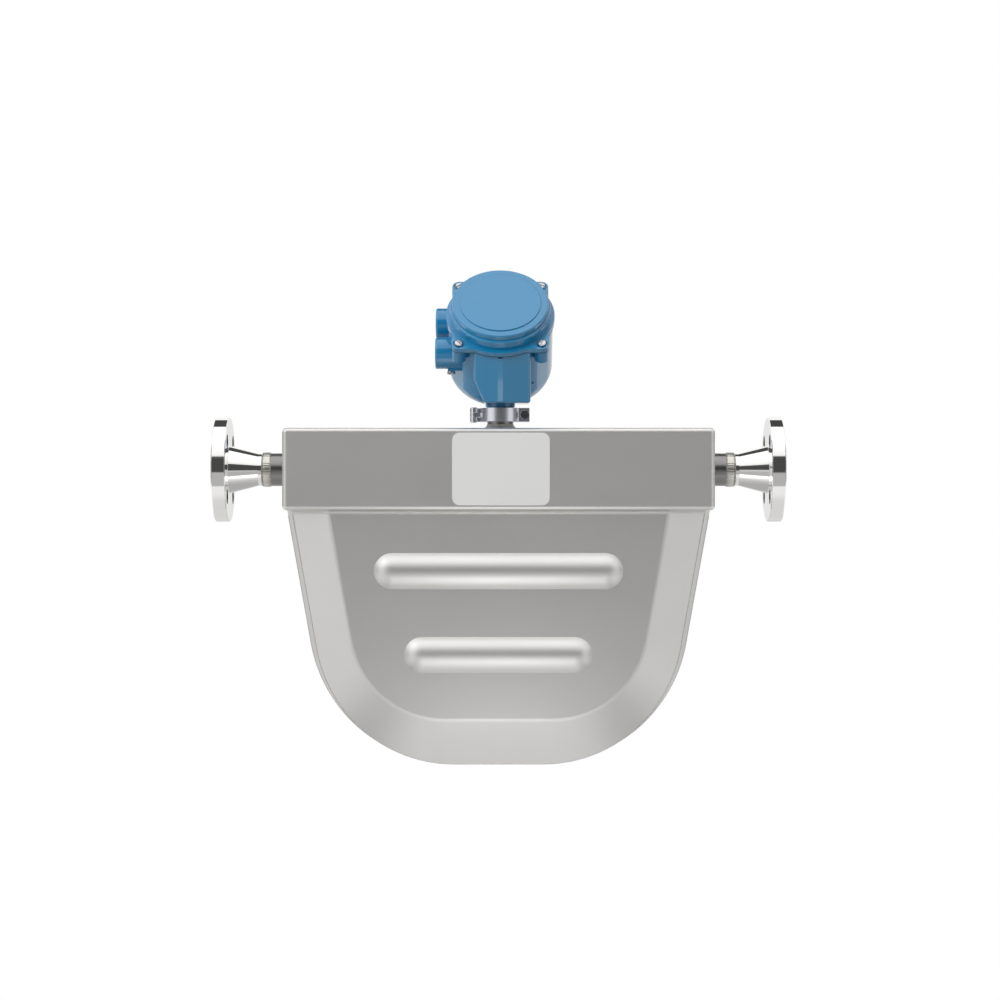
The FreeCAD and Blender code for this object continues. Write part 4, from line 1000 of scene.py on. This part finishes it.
@dataclass
class SlottedScrew:
    """A cheese-head screw with one slot, in millimetres, its seat at the origin.

    The crown is the round of the head's edge, and the shoulder a share of it.
    """

    head: float = 8.4
    height: float = 3.6
    slot: float = 1.2
    slot_depth: float = 1.7
    shank: float = 4.0
    length: float = 17.0
    crown: float = 0.6
    shoulder: float = 0.3
    seat_edge: float = 0.2
    tip: float = 0.4
    overlap: float = 0.02
    head_steps: int = 48
    shank_steps: int = 24

    def add(self, shape: bmesh.types.BMesh, place: Matrix) -> None:
        """Add the screw to a shape.

        Args:
            shape: The bmesh that takes the screw.
            place: Where it goes; its head points along the matrix's third axis.
        """
        before = set(shape.verts)
        radius = self.head / 2
        floor = self.height - self.slot_depth
        turned(shape, [(0.0, AXIS_GAP), (0.0, radius - self.seat_edge), (self.seat_edge, radius),
                       (floor, radius), (floor, AXIS_GAP)], Way.UP, steps=self.head_steps)
        turned(shape, [(self.seat_edge, AXIS_GAP), (self.seat_edge, self.shank / 2),
                       (self.tip - self.length, self.shank / 2),
                       (-self.length, self.shank / 2 - self.tip), (-self.length, AXIS_GAP)],
               Way.UP, steps=self.shank_steps)
        for side in (-1, 1):
            self.add_cheek(shape, side, radius, floor - self.overlap)
        fresh = [vert for vert in shape.verts if vert not in before]
        bmesh.ops.transform(shape, matrix=place, verts=fresh)

    def add_cheek(self, shape: bmesh.types.BMesh, side: int, radius: float,
                  floor: float) -> None:
        """Add one half of the head's upper part, beside the slot.

        Args:
            shape: The bmesh that takes it.
            side: One or minus one.
            radius: The head's radius.
            floor: The slot's floor, a little lowered.
        """
        cap = turned(shape, [
            (floor, AXIS_GAP), (floor, radius), (self.height - self.crown, radius),
            (self.height - self.crown * self.shoulder, radius - self.crown * self.shoulder),
            (self.height, radius - self.crown), (self.height, AXIS_GAP)],
            Way.UP, steps=self.head_steps)
        faces = {face for vert in cap for face in vert.link_faces}
        edges = {edge for vert in cap for edge in vert.link_edges}
        cut = bmesh.ops.bisect_plane(
            shape, geom=list(cap) + list(edges) + list(faces),
            plane_co=(side * self.slot / 2 * MM, 0, 0), plane_no=(side, 0, 0),
            clear_inner=True)["geom_cut"]
        rim = [item for item in cut if isinstance(item, bmesh.types.BMEdge)]
        bmesh.ops.holes_fill(shape, edges=rim, sides=0)


@dataclass
class Head:
    """The cast head's small pieces, placed in its leaning frame.

    Fields are in millimetres and degrees. The thread's flanks are in half pitches, and the
    wall's lean is the cosine past which a face counts as the lid's outer wall.
    """

    neck: float = NECK_PLACE
    setback: float = -20.0
    height: float = 154.5
    tilt: float = 48.0
    screw_reach: float = 42.2
    screw_seat: float = 4.8
    slot_turns: Tuple[float, ...] = (38.0, -16.0, -52.0, 64.0)
    ground: Triple = (245.3, -13.0, 101.5)
    ground_turn: float = 25.0
    ground_length: float = 6.0
    thread_start: float = -66.6
    thread_length: float = 16.5
    thread_pitch: float = 1.5
    thread_radius: float = 9.25
    thread_depth: float = 0.8
    thread_flanks: Triple = (0.8, 1.1, 1.9)
    thread_steps: int = 48
    thread_crease: float = 25.0
    conduit_reach: float = 21.5
    conduit_depth: float = -27.7
    shade_band_low: float = 0.05
    shade_band_high: float = 0.8
    shade_band_proud: float = 0.08
    merge: float = 0.01
    hole_reach: float = 6.0
    wall_reach: float = 53.0
    wall_lean: float = 0.2

    def frame(self) -> Matrix:
        """From the leaning frame to the meter's own."""
        origin = Vector((self.neck, self.setback, self.height)) * MM
        return Matrix.Translation(origin) @ Matrix.Rotation(math.radians(self.tilt), 4, "X")

    def build(self, finishes: Finishes) -> None:
        """Make every small piece of the head.

        Args:
            finishes: The meter's finishes.
        """
        self.build_screws(finishes.by_slot["screw_steel"])
        self.build_ground_screw(finishes.by_slot["screw_steel"])
        self.build_threads(finishes.by_slot["blue_paint"])
        self.build_joint_shade_band(finishes.by_slot["seal_rubber"])

    def build_screws(self, material: bpy.types.Material) -> None:
        """The lid's four screws, their slots as the last hand left them.

        Args:
            material: Their finish.
        """
        shape = bmesh.new()
        corners = [(-1, -1), (1, -1), (-1, 1), (1, 1)]
        for (across, along), turn in zip(corners, self.slot_turns):
            seat = Vector((across * self.screw_reach, along * self.screw_reach,
                           self.screw_seat)) * MM
            place = self.frame() @ Matrix.Translation(seat) @ Matrix.Rotation(
                math.radians(turn), 4, "Z")
            SlottedScrew().add(shape, place)
        piece = finish_piece(shape, "slotted_lid_screws", material)
        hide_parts("lid_screws")
        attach(piece, "head")

    def build_ground_screw(self, material: bpy.types.Material) -> None:
        """The earthing screw under the lower conduit boss.

        Args:
            material: Its finish.
        """
        shape = bmesh.new()
        place = Matrix.Translation(Vector(self.ground) * MM) @ Matrix.Rotation(
            math.pi, 4, "X") @ Matrix.Rotation(math.radians(self.ground_turn), 4, "Z")
        SlottedScrew(length=self.ground_length).add(shape, place)
        piece = finish_piece(shape, "slotted_ground_screw", material)
        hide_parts("ground_screw")
        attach(piece, "head")

    def build_threads(self, material: bpy.types.Material) -> None:
        """The threads in both conduit bores.

        Args:
            material: Their finish.
        """
        shape = bmesh.new()
        turns = self.thread_length / self.thread_pitch
        crest = self.thread_radius - self.thread_depth
        rise, flat, fall = (
            self.thread_start + self.thread_pitch / 2 * flank for flank in self.thread_flanks)
        for side in (-1, 1):
            turned(shape, [
                (self.thread_start, self.thread_radius), (rise, crest), (flat, crest),
                (fall, self.thread_radius)],
                Way.ALONG, (0.0, side * self.conduit_reach, self.conduit_depth),
                steps=self.thread_steps, rise=self.thread_pitch, turns=turns, closed=False)
        bmesh.ops.transform(shape, matrix=self.frame(), verts=shape.verts)
        piece = finish_piece(shape, "conduit_threads", material, self.thread_crease)
        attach(piece, "head")

    def build_joint_shade_band(self, material: bpy.types.Material) -> None:
        """A thin dark band in seal rubber all round between lid and head, which paints the shade
        of the joint's gap.

        Args:
            material: Its finish.
        """
        shape = bmesh.new()
        shape.from_mesh(frame["nodes"]["head_lid"].data)
        bmesh.ops.transform(shape, matrix=self.frame().inverted(), verts=shape.verts)
        bmesh.ops.remove_doubles(shape, verts=shape.verts, dist=self.merge * MM)
        for height, way in ((self.shade_band_low, -1), (self.shade_band_high, 1)):
            bmesh.ops.bisect_plane(
                shape, geom=list(shape.verts) + list(shape.edges) + list(shape.faces),
                plane_co=(0, 0, height * MM), plane_no=(0, 0, way), clear_outer=True)
        spare = [face for face in shape.faces if not self.is_outside(face)]
        bmesh.ops.delete(shape, geom=spare, context="FACES")
        shape.normal_update()
        for vert in shape.verts:
            push = Vector((vert.normal.x, vert.normal.y, 0.0)).normalized()
            vert.co += push * (self.shade_band_proud * MM)
        bmesh.ops.transform(shape, matrix=self.frame(), verts=shape.verts)
        # A dark band all round the joint between lid and head: painted shade for the joint's gap,
        # in seal rubber.
        piece = finish_piece(shape, "painted_joint_shade", material)
        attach(piece, "head")

    def is_outside(self, face: bmesh.types.BMFace) -> bool:
        """Whether a face of the lid belongs to its outer wall and not to a hole.

        Args:
            face: The face, in the leaning frame.

        Returns:
            True for the outer wall.
        """
        centre = face.calc_center_median()
        arm = Vector((centre.x, centre.y, 0.0))
        ear = Vector((self.screw_reach, self.screw_reach, 0.0)) * MM
        from_ear = (Vector((abs(centre.x), abs(centre.y), 0.0)) - ear).length
        if from_ear < self.hole_reach * MM or arm.length <= self.wall_reach * MM:
            return False
        return face.normal.dot(arm.normalized()) > self.wall_lean


def main() -> None:
    """Build the meter's looks and report each piece."""
    logging.basicConfig(level=logging.INFO, format="%(message)s")
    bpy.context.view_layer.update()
    finishes = Finishes()
    Studio().build()
    for part in frame["record"]["subparts"]:
        finishes.dress(part["node"], part["material_slot"])
    for end in End:
        PipeWelds(end).build(finishes.weld)
    NeckWeld().build(finishes.weld)
    SeamWeld().build(finishes.weld)
    Head().build(finishes)


if __name__ == "__main__":
    main()
